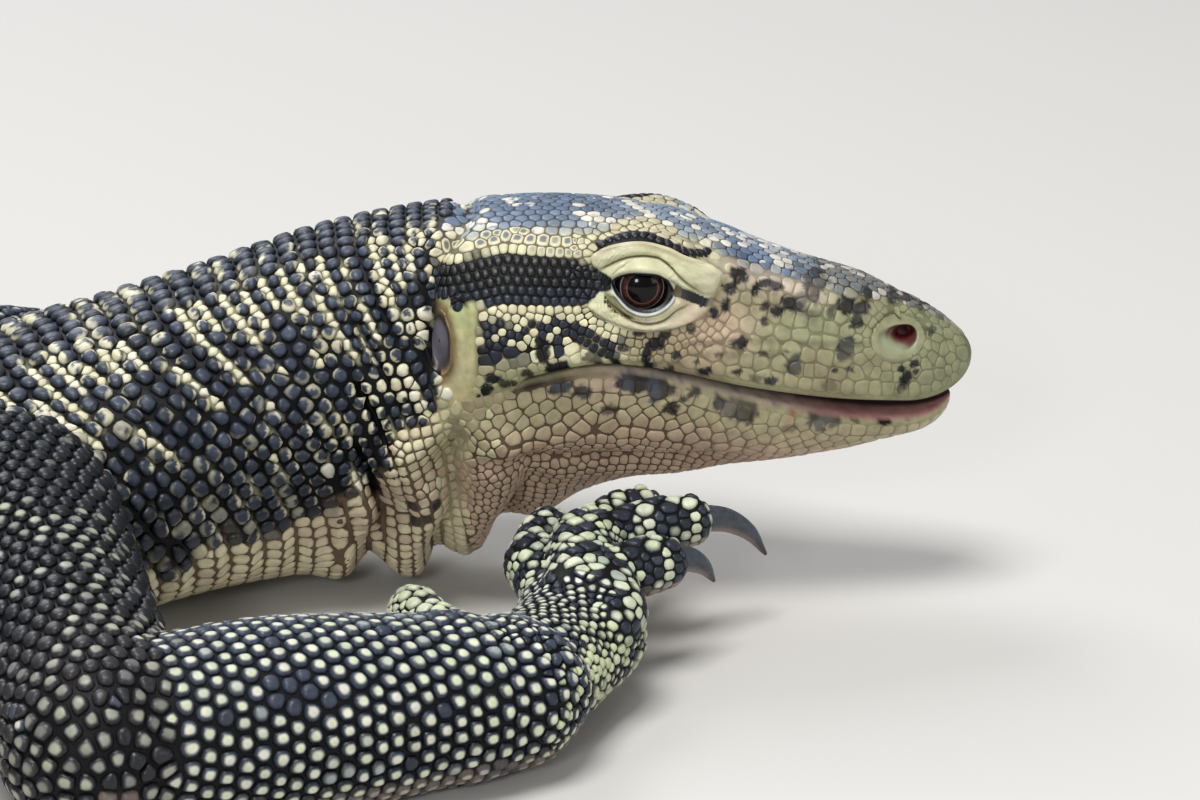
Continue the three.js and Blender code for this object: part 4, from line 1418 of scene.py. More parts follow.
        # Cream: patches that run along the rows, and wavy streaks just behind the grooves between rows.
        row = self.relief.row_of(s, t)
        line, run = self.relief.count_of(row), 32.0 * t
        if u is not None:
            line, run = line + v / self.relief.fold_pitch(row), run + u
        pattern = Mottle(1.0, 21)(np.stack([run / 5.6, line * 1.9, 0 * run], axis=-1)) + 0.25 * n3
        if u is None:
            patch = pattern - 0.5
        else:
            side = 0.55 * down + 0.45 * turn
            patch = pattern + (1 - core) * 0.6 * side * (1 - ease(share, 0.2, 0.36)) - 0.42 * core
        streak = self.streaks(s, t, p, r, line, run)
        amount = 0.30 * (1 - ease(s, 215, 300)) + 0.16 * hump(s, 122, 16) * ease(share, 0.18, 0.36)
        amount = amount + 0.12 * m1 - 0.13 * hump(s, 126, 34) * (1 - ease(share, 0.2, 0.4))
        cream = ease(patch, 0.50 - amount, 0.60 - amount)
        cream = np.maximum(cream * (1 - 0.7 * ease(share, 0.24, 0.36) * ease(s, 120, 140)), streak)
        hue = blend(hue, blend(CREAM * 0.98, BONE, 0.3 + 0.5 * one), cream)
        # Rows of yellow spots across the back of the trunk, bars on the tail.
        ring = np.abs(((row - 250) / 34) % 1 - 0.5) * 2
        around = np.abs((np.abs(t) * np.interp(s, [200, 340, 600], [30, 44, 28]) / 19) % 1 - 0.5) * 2
        spot = (1 - ease(np.hypot(1.9 * (1 - ring), 1.35 * (1 - around)) + 0.3 * m2, 0.6, 0.7))
        spot *= ease(s, 225, 260) * (1 - ease(s, 600, 660)) * (1 - ease(share, 0.62, 0.72))
        step = np.interp(s, [600, 1500], [46, 62])
        bars = ease(np.abs(((s - 620) / step) % 1 - 0.5) * 2 + 0.22 * m2, 0.68, 0.74)
        bars *= ease(s, 600, 660)
        fill = ease(m2 + 0.4 * one, -0.75, -0.6)
        hue = blend(hue, STRAW * 1.05, np.maximum(spot, bars) * fill * 0.95)
        # Throat and belly: cream to pinkish tan, with dark bars that fade towards the middle.
        line = self.pale_line(s)
        pale = ease(share + 0.05 * m1 + 0.055 * m2, line - 0.003, line + 0.003)
        belly = blend(np.ones(p.shape) * BLUSH, CREAM, 0.5 + 0.4 * n1 + 0.25 * one)
        belly = blend(belly, CREAM, ease(s, 120, 150) * 0.5)
        belly = blend(belly, STRAW * 1.1, hump(s, 101, 6) * ease(p[..., 2], 28, 38) * 0.7)
        bar = ease(np.abs(((s - 240) / 34) % 1 - 0.5) * 2 + 0.3 * m2, 0.8, 0.86) * ease(s, 200, 240) * (
            1 - ease(share, 0.8, 0.97))
        belly = blend(belly, UMBER * 1.2, bar * 0.85)
        spots = ease(self.broad(r + 31.0) + 0.45 * m2, 0.66, 0.7)
        belly = blend(belly, INK * 1.2, spots * 0.95)
        hue = blend(hue, belly, pale) * (1 + 0.09 * one)[..., None]
        groove = blend(INK * 0.6 * np.ones(p.shape), CREAM * 0.7, streak * 0.5)
        groove = blend(groove, srgb(98, 80, 64), pale)
        return blend(groove, hue, ease(core, 0.0, 0.16))

    def streaks(self, s: Array, t: Array, p: Array, r: Array, line: Array, run: Array) -> Array:
        """The wavy cream streaks just behind the grooves between the neck's rows: their share at each place.

        Args:
            s: Distance behind the snout tip.
            t: Angle round the section.
            p: Points.
            r: Middles of the scales, or the points of the bare skin.
            line: Rows counted back from the head.
            run: Millimetres along the row.

        Returns:
            Shares from 0 to 1.
        """
        m1, n3, share = self.broad(r), self.tiny(p), np.abs(t) / math.pi
        key = np.floor(line + 0.3)
        wave = Mottle(1.0, 29)(np.stack([run / 2.3, key * 5.1, 0 * run], axis=-1))
        ribbon = Mottle(1.0, 23)(np.stack([run / 6.0, key * 3.7, 0 * run], axis=-1))
        half = np.maximum(0.15 + 0.10 * ribbon + 0.04 * n3, 0.03)
        streak = 1 - ease(np.abs(line - np.round(line) - 0.10 - 0.14 * wave) / half, 0.85, 1.1)
        odd = np.mod(key, 2) * ease(share, 0.3, 0.42)
        streak *= ease(ribbon + 0.35 * m1 - 0.45 * odd, -0.14, -0.02) * ease(share, 0.06, 0.16)
        return streak * (1 - ease(s, 225, 330))

    def body(self, s: Array, t: Array, p: Array) -> Array:
        """Colours of the upper tube's skin."""
        seam = np.zeros(s.shape)
        head = self.head(s, t, p, seam)
        rest = self.neck(s, t, p, seam)
        hue = blend(head, rest, ease(s, 105, 107))
        roof = (np.cos(t) < -0.02) & (s < 97)
        # The mouth's roof shows as the line between the lips. Its gum colour is darkened as painted shade and
        # turns pale tan towards the mouth's corner.
        gum_and_shade = blend(srgb(92, 52, 52) * np.ones(p.shape), srgb(64, 46, 44), ease(s, 20, 60))
        gum_and_shade = blend(gum_and_shade, STRAW * 0.8, ease(s, 68, 80))
        return np.where(roof[..., None], gum_and_shade, hue)

    def jaw(self, s: Array, t: Array, p: Array, core: Array | None = None,
            root: Array | None = None) -> Array:
        """Colours of the lower jaw and chin.

        Args:
            s: Distance behind the snout tip.
            t: Angle round the jaw's section.
            p: Points.
            core: 1 mid-scale, 0 at the rim; none for the bare skin.
            root: Middles of the scales.

        Returns:
            Linear colours, (..., 3).
        """
        r = p if root is None else root
        n1, n2, n3, one = self.broad(p), self.small(p), self.tiny(p), self.each(r)
        back = self.form.snout_x - p[..., 0]
        z = p[..., 2]
        depth = self.form.middle(s) - z
        hue = blend(np.ones(p.shape) * srgb(174, 164, 130), TAN * 0.80, 0.25 + 0.4 * n1 + 0.2 * n2)
        hue = blend(hue, srgb(172, 166, 130), (1 - ease(depth, 3, 8)) * (1 - ease(back, 40, 60)) * 0.6)
        hue = blend(hue, BLUSH, ease(depth, 8, 16) * 0.85)
        hue = blend(hue, srgb(132, 104, 84), ease(depth, 12, 20) * (1 - ease(back, 50, 66)) * 0.5)
        hue = blend(hue, srgb(196, 170, 150), hump(back, 70, 8) * hump(z, 48, 2.5) * 0.6)
        blue = blend(INK * 1.4 * np.ones(p.shape), SLATE * 0.5, ease(n2, -0.4, 0.5) * ease(back, 54, 62))
        grey = blend(blue, GREY * 0.55, ease(n2 + 0.5 * n3, -0.5, 0.3) * ease(back, 24, 30) * (
            1 - ease(back, 52, 58)))
        hue = blend(hue, grey, self.marks(back, z, JAW_MARKS, n3))
        line = 35.9 - (z - 41.1) * 0.35
        hue = blend(hue, srgb(164, 74, 68), hump(back, line, 0.42) * hump(z, 41.6, 2.2) * 0.75)
        hue = hue * (1 + 0.09 * one)[..., None]
        smooth = (1 - ease(depth, 4.0, 6.5)) * np.interp(back, [40, 60, 74, 82], [1, 0.85, 0.4, 0.0])
        seam = blend(blend(hue * 0.38, SEAM, 0.5), hue * 0.68, (1 - ease(back, 44, 62)) * 0.75)
        seam = blend(seam, hue * 0.88, smooth * 0.9)
        if core is None:
            seam = blend(seam, hue, smooth * (1 - ease(depth, 3.0, 4.4)))
            core = np.zeros(s.shape)
        hue = blend(seam, hue, ease(core, 0.0, 0.1))
        inner = (np.cos(t) > 0.02)
        lip = blend(srgb(208, 194, 172) * np.ones(p.shape), srgb(140, 138, 146),
                    ease(n2 + 0.3 * n3, 0.0, 0.5) * 0.8)
        lip = blend(lip, srgb(170, 104, 106), (1 - ease(back, 26, 44)) * 0.75)
        # Painted shade: ahead of the corner, the middle of the mouth's floor, deep between the lips, is near
        # black.
        floor = 1 - ease(np.abs(np.sin(t)), 0.2, 0.46)
        lip = blend(lip, srgb(72, 44, 46), floor * (1 - ease(back, 66, 78)))
        lip = blend(lip, STRAW, ease(back, 74, 84) * 0.8)
        return np.where(inner[..., None], lip, hue)

    def leg(self, leg: Leg, name: str, bar: Bar, t: Array, angle: Array, p: Array, core: Array | None = None,
            root: Array | None = None) -> Array:
        """Colours of a leg.

        Args:
            leg: The leg.
            name: The bar's name.
            bar: The bar.
            t: Distance along the bar.
            angle: Angle round it, 0 on top.
            p: Points.
            core: 1 mid-scale, 0 at the rim; none for the bare skin.
            root: Middles of the scales.

        Returns:
            Linear colours, (..., 3).
        """
        r = p if root is None else root
        core = np.zeros(np.shape(t)) if core is None else core
        n2 = self.small(p)
        m1, m2, one = self.broad(r), self.small(r), self.each(r)
        dark = blend(np.ones(p.shape) * NIGHT * (0.4 if name == "upper" else 1.3), INK, 0.35 + 0.3 * m1)
        dark = blend(dark, SLATE * 0.8, ease(one, -0.3, 1.0) * (0.12 if name == "upper" else 0.5))
        dark = blend(dark, INK, (1 - ease(core, 0.1, 0.45)) * 0.6)
        # Painted sheen: the top of the forearm turns bluish slate.
        if name == "lower":
            dark = blend(dark, SLATE * 0.75, ease(np.cos(angle), 0.2, 0.8) * 0.5)
        pale = blend(np.ones(p.shape) * BONE * 0.95, MINT, 0.5 + 0.45 * m1)
        pale = blend(pale, BONE, ease(one, 0.1, 0.8) * 0.6)
        pale = blend(pale, STEEL, (1 - ease(one, -0.75, -0.35)) * 0.7)
        below = -np.cos(angle)
        digit = name.startswith("digit")
        seed = sum(map(ord, name)) * 1.7
        if digit:
            wave = np.sin((t / 8.6) * 2 * math.pi + seed) + 0.45 * m2 + 0.2 * one
            band = ease(wave, 0.15, 0.3) * ease(core, 0.05, 0.2)
            dots = ease(m2 + 0.5 * one, 0.22, 0.3) * ease(core, 0.35, 0.7)
            dot = np.maximum(band, dots)
            if name == "digit_1":
                pale = blend(pale, srgb(190, 168, 150), 1 - ease(t, bar.length * 0.45, bar.length * 0.6))
                dot = np.maximum(dot, ease(core, 0.05, 0.2) * ease(m2, -0.45, -0.35))
            pale = blend(pale, srgb(186, 200, 164), 0.35)
        else:
            least = {"upper": 0.74, "lower": 0.54}.get(name, 0.5) + 0.2 * one
            many = np.interp(t / bar.length, [0, 0.4, 0.9], [0.8, 0.35, -0.2]) if name == "upper" else -0.6
            dot = ease(core, least, least + 0.35) * ease(m1 + 0.9 * one, many - 0.05, many + 0.05)
            if name == "upper":
                dot *= 0.8
                pale = blend(pale, GREY, 0.25)
            if name == "palm":
                outer = ease(np.sin(angle) * leg.hand, 0.4, 0.8)
                dot = np.maximum(dot, ease(core, 0.05, 0.2) * outer * ease(m2 + 0.6 * one, 0.0, 0.1))
                pale = blend(pale, srgb(184, 194, 146), outer * 0.7)
        hue = blend(dark, pale, dot)
        if name in ("upper", "lower"):
            fade = hump(t, 0 if name == "lower" else bar.length, 12)
            hue = blend(hue, srgb(92, 84, 84), fade * 0.2)
        sole = ease(below + 0.1 * n2, 0.45, 0.65)
        tan = blend(BLUSH * 0.85 * np.ones(p.shape), GREY * 0.7, 0.5 + 0.5 * n2)
        hue = blend(hue, tan, sole * (0.9 if digit or name == "palm" else 0.5))
        hue = hue * (1 + 0.1 * one)[..., None]
        groove = blend(np.ones(p.shape) * INK * 0.8, hue * 0.45, sole)
        return blend(groove, hue, ease(core, 0.0, 0.14))

    @staticmethod
    def leg_lift(name: str, bar: Bar, t: Array, angle: Array, p: Array) -> Array:
        """How far a leg's skin stands proud of its bar: muscle, wrist creases, knuckles and digit creases.

        Args:
            name: The bar's name.
            bar: The bar.
            t: Distance along the bar.
            angle: Angle round it, 0 on top.
            p: Points.

        Returns:
            Millimetres.
        """
        if name.startswith("digit"):
            knots = np.array([bar.length * share for share in (0.3, 0.66, 0.9)])
            lift = sum(0.55 * hump(t, k, 2.6) for k in knots) - 0.4
            return lift - 0.3 * np.abs(np.sin(t * math.pi / 4.3)) ** 3 * np.clip(np.cos(angle) + 0.3, 0, 1)
        lift = 0.35 * Mottle(15.0, 61)(p)
        top, end = np.clip(np.cos(angle) + 0.4, 0, 1), bar.length
        if name == "lower":
            lift += 0.7 * hump(t, end - 9, 3.6) - 1.3 * hump(t, end - 3.2, 1.3) * top
        if name == "palm":
            lift += (0.9 * hump(t, 2.2, 2.0) - 1.0 * hump(t, 6.4, 1.1)) * top
        return lift


# ---------------------------------------------------------------- scales


@dataclass(frozen=True)
class Cut:
    """How one kind of scale is cut, from its rim to its crown.

    `height`, `gap` and `reach` are shares of the scale's pitch. `corner` is the power of the soft least radius,
    and a higher one keeps sharper corners. `rings` are (share of the outline, share of the height), rim first.
    """

    height: float
    gap: float
    corner: float
    reach: float
    rings: tuple[tuple[float, float], ...] = ((1.0, -0.3), (0.9, 0.36), (0.64, 0.84), (0.34, 0.98))


class Kind(Enum):
    """The kinds of scale on the animal."""

    BUMP = Cut(0.29, 0.05, 6.5, 0.85, ((1.0, -0.3), (0.9, 0.42), (0.68, 0.88), (0.38, 1.0)))
    BEAD = Cut(0.22, 0.03, 11, 0.9)
    PLATE = Cut(0.085, 0.05, 16, 0.85, ((1.0, -1.2), (0.93, 0.45), (0.72, 0.85), (0.4, 0.98)))
    TILE = Cut(0.035, 0.032, 22, 1.05, ((1.0, -3.0), (0.955, 0.25), (0.8, 0.75), (0.5, 0.95)))
    SQUARE = Cut(0.13, 0.05, 12, 0.80, ((1.0, -0.7), (0.91, 0.45), (0.68, 0.85), (0.36, 0.98)))
    THROAT = Cut(0.10, 0.045, 12, 1.5, ((1.0, -0.9), (0.93, 0.45), (0.7, 0.85), (0.38, 0.98)))
    BELLY = Cut(0.06, 0.05, 14, 0.85, ((1.0, -0.8), (0.92, 0.5), (0.66, 0.88), (0.35, 0.98)))


class Detail(Enum):
    """How finely scales are cut: corners, the rings kept, and whether every ring is laid on the skin."""

    FAR = (8, (0, 2), False)
    NEAR = (12, (0, 1, 2, 3), False)
    FACE = (14, (0, 1, 2, 3), True)


@dataclass(frozen=True)
class ScalePoints:
    """What a scale's colours are worked out from, at each of its points, (scales, points) or with 3 more.

    `s` and `t` place the scale's middle on the surface, and `u` and `v` are its millimetres along and across
    the rows. `p` are the points and `root` the crown of their scale. `core` is 1 there and 0 at the rim, and `x`
    and `y` are millimetres from there. `turn` and `way` are the sine and minus the cosine of the place round it.
    """

    s: Array
    t: Array
    u: Array
    v: Array
    p: Array
    root: Array
    core: Array
    x: Array
    y: Array
    turn: Array
    way: Array


@dataclass(frozen=True)
class Batch:
    """One lattice of scales: its places, ways, sizes and the function that colours it."""

    piece: str
    kind: Kind
    p: Array
    n: Array
    along: Array
    pitch: Array
    uv: Array
    data: dict[str, Array]
    tint: Callable[[ScalePoints], Array]
    detail: Detail = Detail.FAR
    clear: float = 0.60

    def kept(self, keep: Array) -> Batch:
        """The batch with only some of its scales."""
        data = {key: value[keep] for key, value in self.data.items()}
        return replace(self, p=self.p[keep], n=self.n[keep], along=self.along[keep], pitch=self.pitch[keep],
                       uv=self.uv[keep], data=data)


@dataclass(frozen=True)
class Block:
    """Cut scales with outlines of one kind: points (scales, points, 3), their colours and map places."""

    points: Array
    hue: Array
    uv: Array
    corners: int

    @property
    def rings(self) -> int:
        """Rings of points in a scale, which ends in one point on its crown."""
        return (self.points.shape[1] - 1) // self.corners

    @property
    def triangles(self) -> int:
        """Triangles of one scale: rings of squares, the fan of its crown and the cap below."""
        return 2 * self.corners * (self.rings - 1) + self.corners + (self.corners - 2)

    def part(self, start: int, count: int) -> Block:
        """Some of the scales."""
        cut = slice(start, start + count)
        return Block(self.points[cut], self.hue[cut], self.uv[cut], self.corners)


def even(pitch: float) -> Callable[..., Array]:
    """A spacing that is the same everywhere."""
    return lambda s, t: pitch + 0 * s


@dataclass(frozen=True)
class LidShape:
    """The outlines of the lids and their opening: radii about the eye by degrees up from straight ahead."""

    back: float = EYE[0]
    high: float = EYE[2]
    outer: Knots = Knots((
        (-30, 12.2), (-20, 12.8), (-8, 13.2), (2, 14.2), (10, 14.8), (17, 13.6), (33, 10.3), (60, 8.7),
        (90, 8.6), (117, 9.4), (140, 10.9), (150, 11.4), (160, 9.6), (172, 8.2), (182, 8.6), (192, 10.8),
        (200, 10.8), (218, 9.1), (253, 7.9), (290, 8.3), (321, 10.8), (330, 12.2), (340, 12.8), (352, 13.2)))
    inner: Knots = Knots((
        (-15, 5.55), (-3, 5.75), (6, 5.5), (25, 5.1), (49, 4.45), (90, 3.9), (133, 4.9), (151, 5.7),
        (168, 6.4), (180, 5.9), (195, 5.05), (228, 4.3), (270, 4.15), (308, 4.65), (332, 5.2), (345, 5.55),
        (357, 5.75)))

    def beyond(self, back: Array, z: Array) -> Array:
        """How far places lie outside the lids' outline."""
        x, y = self.back - np.asarray(back), np.asarray(z) - self.high
        turn = np.degrees(np.arctan2(y, x))
        return np.hypot(x, y) - self.outer(np.where(turn < -25, turn + 360, turn))


LIDS = LidShape()


class Coat:
    """All the scales: lattices laid over the skin, each scale an outline between its neighbours, domed."""

    def __init__(self, skin: Skin, form: BodyForm, relief: Relief, legs: list[Leg], markings: Markings,
                 place: Place) -> None:
        """Keeps what the scales are laid over."""
        self.skin, self.form, self.relief, self.legs = skin, form, relief, legs
        self.markings, self.place = markings, place
        self.batches: list[Batch] = []
        self.bounds: list[tuple[Array, Array]] = []
        self.random = np.random.default_rng(41)
        mesh = skin.obj.data
        self.skin_points = read_points(mesh) * 1000
        normals = np.empty(len(mesh.vertices) * 3, np.float32)
        mesh.vertices.foreach_get("normal", normals)
        self.skin_normals = normals.reshape(-1, 3).astype(float)
        self.faces = [tuple(p.vertices) for p in mesh.polygons]

    # -- laying out

    def snap(self, p: Array) -> tuple[Array, Array, Array]:
        """Moves points to the nearest place on the finished skin.

        Args:
            p: Points in the head's frame, mm.

        Returns:
            Points, smooth normals and the distances moved.
        """
        shift = np.array(self.place.shift)
        find = self.skin.tree.find_nearest
        out = [find(c) for c in (p + shift).tolist()]
        where = np.array([o[0] for o in out]) - shift
        index = [self.faces[o[2]] for o in out]
        n = unit(np.array([self.skin_normals[list(f)].mean(0) for f in index]))
        return where, n, np.array([o[3] for o in out])

    def lay(self, piece: str, kind: Kind, s: Array, t: Array, point: Callable[..., Array],
            pitch: Callable[..., Array], tint: Callable[[ScalePoints], Array], uv: Callable[..., Array],
            jitter: float = 0.08,
            detail: Detail = Detail.FAR, near: float = 0.9, mask: Callable[..., Array] | None = None,
            phase: float = 0.0, clear: float = 0.60) -> None:
        """Lays scales along rows at even steps of distance over pitch, alternate rows half a step on.

        Args:
            piece: The scale piece they belong to.
            kind: Their kind.
            s: First parameter along each row, (rows, samples).
            t: Second parameter.
            point: Function of (s, t) that gives points.
            pitch: Function of (s, t) that gives the spacing.
            tint: Function that colours them.
            uv: Function of (s, t) that gives their place on the OFBake map.
            jitter: Random shift as a share of the pitch.
            detail: How finely they are cut.
            near: How far from the skin a place may be.
            mask: Function of (s, t, points) that says which to keep.
            phase: Where along the rows the count starts, in steps.
            clear: How far scales of earlier lattices must be, as a share of the pitch.
        """
        p = point(s, t)
        size = pitch(s, t)
        reach = np.linalg.norm(np.diff(p, axis=1), axis=2)
        step = reach / (0.5 * (size[:, 1:] + size[:, :-1]))
        start = np.zeros((len(p), 1))
        count = np.concatenate([start, np.cumsum(step, axis=1)], axis=1)
        length = np.concatenate([start, np.cumsum(reach, axis=1)], axis=1)
        middle = s.shape[1] // 2
        count -= count[:, middle:middle + 1]
        length -= length[:, middle:middle + 1]
        ss, tt, uu, row = [], [], [], []
        for i in range(len(p)):
            first = 0.5 * (i % 2) + phase
            at = np.arange(math.ceil(count[i, 0] - first), math.floor(count[i, -1] - first) + 1) + first
            at = at + self.random.uniform(-jitter, jitter, len(at))
            ss.append(np.interp(at, count[i], s[i]))
            tt.append(np.interp(at, count[i], t[i]))
            uu.append(np.interp(at, count[i], length[i]))
            row.append(np.full(len(at), i))
        s1, t1, u1 = np.concatenate(ss), np.concatenate(tt), np.concatenate(uu)
        row = np.concatenate(row)
        if not len(s1):
            return
        size1 = pitch(s1, t1) * (1 + self.random.uniform(-0.9, 0.9, len(s1)) * jitter)
        q = point(s1, t1)
        q = q + self.random.normal(0, 1, q.shape) * (jitter * 0.35 * size1)[:, None]
        where, n, moved = self.snap(q)
        keep = moved < near
        if mask is not None:
            keep &= mask(s1, t1, where)
        # The way along the row, from a small step.
        ds, dt = np.gradient(s, axis=1)[row, middle], np.gradient(t, axis=1)[row, middle]
        ahead = point(s1 + ds * 0.5, t1 + dt * 0.5) - point(s1 - ds * 0.5, t1 - dt * 0.5)
        ahead = unit(ahead - n * (ahead * n).sum(-1, keepdims=True))
        data = {"s": s1, "t": t1, "u": u1, "v": row * float(np.mean(size1)) * 0.9}
        batch = Batch(piece, kind, where, n, ahead, size1, uv(s1, t1), data, tint, detail, clear)
        self.batches.append(batch.kept(keep))

    def hold_back(self, s: Array, t: Array, point: Callable[..., Array], pitch: float) -> None:
        """Sets bare places that take room as a scale does, so that scales stop short of an opening.

        Args:
            s: First parameter of the places.
            t: Second parameter.
            point: Function of (s, t) that gives points.
            pitch: The room they take.
        """
        p = point(s, t)
        self.bounds.append((p, np.full(len(p), pitch)))

    def thin_out(self) -> None:
        """Drops a scale that comes too near one of an earlier lattice."""
        placed: Array | None = None
        for i, batch in enumerate(self.batches):
            if placed is not None and len(batch.p):
                tree = point_tree(placed)
                gap = np.array([tree.find(c)[2] for c in batch.p])
                batch = self.batches[i] = batch.kept(gap > batch.clear * batch.pitch)
            placed = batch.p if placed is None else np.vstack([placed, batch.p])

    # -- lattices

    def rings(self, rows: Array, end: float, samples: int) -> tuple[Array, Array]:
        """Places (s, t) along the body's slanting rows, from angle -end to end."""
        t = np.linspace(-end, end, samples)[None, :] * np.ones((len(rows), 1))
        return self.relief.along_row(rows[:, None], t), t

    def body_mask(self, s: Array, t: Array, p: Array) -> Array:
        """Whether places lie behind the head's rear edge, clear of the ear, and above the belly."""
        z, back = p[..., 2], self.back_of(p)
        edge = np.interp(z, [0, 20, 38, 43, 46, 50, 62, 72, 78],
                         [94, 96, 98, 99.5, 102.5, 105.0, 107.0, 104.6, 98.5])
        ear = ((back - 104.4) / 3.4) ** 2 + ((z - EAR[1]) / 7.2) ** 2 < 1
        return (((back > edge) & ~ear) | (s > 125)) & (z >= 2.0)

    def throat(self, s: Array, t: Array) -> Array:
        """Whether places have the tight pale scales under the neck."""
        return (np.abs(t) / math.pi > self.markings.pale_line(s)) & (s < 250)

    def streaked(self, s: Array, t: Array, p: Array) -> Array:
        """Whether one of the neck's cream streaks runs through places above the throat."""
        line = self.relief.count_of(self.relief.row_of(s, t))
        streak = self.markings.streaks(s, t, p, p, line, 32.0 * t) > 0.5
        return self.body_mask(s, t, p) & ~self.throat(s, t) & streak

    @staticmethod
    def body_pitch(s: Array, t: Array) -> Array:
        """Spacing along the body's rows."""
        plain = np.interp(s, [95, 110, 130, 150, 200, 230, 600, 900, 1520],
                          [2.5, 2.8, 3.4, 3.9, 4.3, 4.5, 4.5, 3.4, 2.4])
        return plain * (1 - 0.2 * ease(np.abs(t) / math.pi, 0.42, 0.6) * (1 - ease(s, 130, 170)))

    def body_rows(self) -> None:
        """Transverse rows of the neck, trunk and tail, slanting forward down the neck."""
        relief, point, tint = self.relief, self.head_point, self.body_tint
        first, last = (relief.count_of(np.array(end)) for end in (97.0, 1514.0))
        counts = np.arange(math.ceil(first), math.floor(last)) + 0.5
        rows = np.interp(counts, relief.row_count, relief.row_place)
        spans = (("scales_neck", 97, 232, Kind.BUMP, Detail.NEAR),
                 ("scales_trunk", 232, 610, Kind.BUMP, Detail.FAR),
                 ("scales_tail", 610, 1514, Kind.BEAD, Detail.FAR))
        for piece, low, high, kind, detail in spans:

            def uv(s: Array, t: Array, low: float = low, high: float = high) -> Array:
                """The unwrapped tube: back along the body, and round it."""
                return np.stack([0.02 + 0.96 * np.clip((s - low + 60) / (high - low + 60), 0, 1),
                                 0.5 + 0.48 * t / math.pi], axis=-1)

            s, t = self.rings(rows[(rows >= low) & (rows < high)], math.pi, 481)
            self.lay(piece, kind, s, t, point, self.body_pitch, tint, uv, 0.08, detail,
                     mask=lambda s, t, p: self.body_mask(s, t, p) & ~self.throat(s, t))
            self.lay(piece, Kind.THROAT, s, t, point, self.body_pitch, tint, uv, 0.06, detail,
                     mask=lambda s, t, p: self.body_mask(s, t, p) & self.throat(s, t))
            self.lay(piece, Kind.BELLY, s, t, point, self.body_pitch, tint, uv, 0.04, Detail.FAR,
                     mask=lambda s, t, p: p[..., 2] < 2.0)
            if piece == "scales_neck":
                # Small cream scales in the grooves, where the streaks run.
                between = np.interp(counts - 0.4, relief.row_count, relief.row_place)
                s, t = self.rings(between[(between >= 100) & (between < 300)], 0.68 * math.pi, 420)
                self.lay(piece, Kind.BEAD, s, t, point, even(2.2), self.streak_tint, uv, 0.14, detail,
                         mask=self.streaked, clear=0.5)

    def _plain_t(self, s: Array, z: Array, hand: float) -> Array:
        """The angle at which the plain upper tube reaches a height: cos t = ((z - middle) / tall)^(n / 2)."""
        cut = self.form.section(s)
        share = np.clip((z - cut.centre) / np.maximum(cut.top - cut.centre, 0.1), 0.0, 1.0)
        return hand * np.arccos(share ** (self.form.square_above(s) / 2))

    def spot(self, back: Array, z: Array, hand: float) -> tuple[Array, Array]:
        """Where on the upper tube the finished skin lies at a place seen from the side, by five corrections.

        Args:
            back: Distances behind the snout tip.
            z: Heights.
            hand: -1 for the right side, 1 for the left.

        Returns:
            Distances and angles (s, t).
        """
        back, z = np.broadcast_arrays(np.asarray(back, float), np.asarray(z, float))
        s, aim = back.copy(), z.copy()
        for _ in range(5):
            t = self._plain_t(s, aim, hand)
            p = self.head_point(s, t)
            s = np.clip(s + 0.8 * np.clip(back - self.back_of(p), -2, 2), 0.6, 112)
            aim = aim + 0.8 * np.clip(z - p[..., 2], -3, 3)
        return s, self._plain_t(s, aim, hand)

    def t_of_side(self, s: Array, side: Array) -> Array:
        """The angle at which the upper tube is `side` from its middle: sin t = (side / wide)^(n / 2)."""
        share = np.clip(np.abs(side) / np.maximum(self.form.section(s).wide, 0.1), 0, 0.999)
        return np.sign(side) * np.arcsin(share ** (self.form.square_above(s) / 2))

    def head_point(self, s: Array, t: Array) -> Array:
        """The finished skin of the upper tube."""
        return self.relief.surface(s, t)[0]

    def back_of(self, p: Array) -> Array:
        """Distance behind the snout tip."""
        return self.form.snout_x - p[..., 0]

    def openings(self, p: Array, grow: float = 0.0) -> Array:
        """Whether places are clear of the lids, the nostril, and the ear with its smooth rim."""
        back, z = self.back_of(p), p[..., 2]
        nostril = ((back - NOSTRIL[0]) / 5.3) ** 2 + ((z - NOSTRIL[1]) / 4.1) ** 2 > 1
        ear = (back < 97.4) | (z > 65.2) | (z < 43.5)
        lids = (LIDS.beyond(back, z) > 0.35 + grow) | (z < 50)
        return lids & (nostril | (z > 61)) & ear

    def body_tint(self, at: ScalePoints) -> Array:
        """Neck, trunk and tail colours."""
        down = at.way * np.sign(at.t)
        return self.markings.neck(at.s, at.t, at.p, at.core, at.x, at.y, at.turn, down, at.root)

    def head_tint(self, at: ScalePoints) -> Array:
        """Head colours."""
        return self.markings.head(at.s, at.t, at.p, at.core, at.root, at.u, at.v)

    def jaw_tint(self, at: ScalePoints) -> Array:
        """Jaw colours."""
        return self.markings.jaw(at.s, at.t, at.p, at.core, at.root)

    @staticmethod
    def black_tint(at: ScalePoints) -> Array:
        """Near black, a little bluer on the crown of each scale."""
        return blend(INK * np.ones(at.p.shape), NIGHT * 0.7, at.core * 0.5)

    def cream_tint(self, at: ScalePoints) -> Array:
        """Cream, with a brown rim."""
        shade = 1 + 0.10 * self.markings.each(at.root)
        hue = blend(CREAM * np.ones(at.p.shape), STRAW * 1.1, 0.35 + 0.35 * self.markings.broad(at.root))
        return blend(srgb(96, 82, 64), hue * shade[..., None], ease(at.core, 0.0, 0.14))

    def streak_tint(self, at: ScalePoints) -> Array:
        """The cream of the neck's streaks, with a black rim."""
        one = self.markings.each(at.root)
        hue = blend(CREAM * np.ones(at.p.shape), BONE, 0.3 + 0.5 * one) * (1 + 0.09 * one)[..., None]
        return blend(INK, hue, ease(at.core, 0.0, 0.12))

    @staticmethod
    def head_uv(s: Array, t: Array) -> Array:
        """The unwrapped head: back along it, and round it."""
        return np.stack([0.02 + 0.96 * s / 125, 0.5 + 0.48 * t / math.pi], axis=-1)

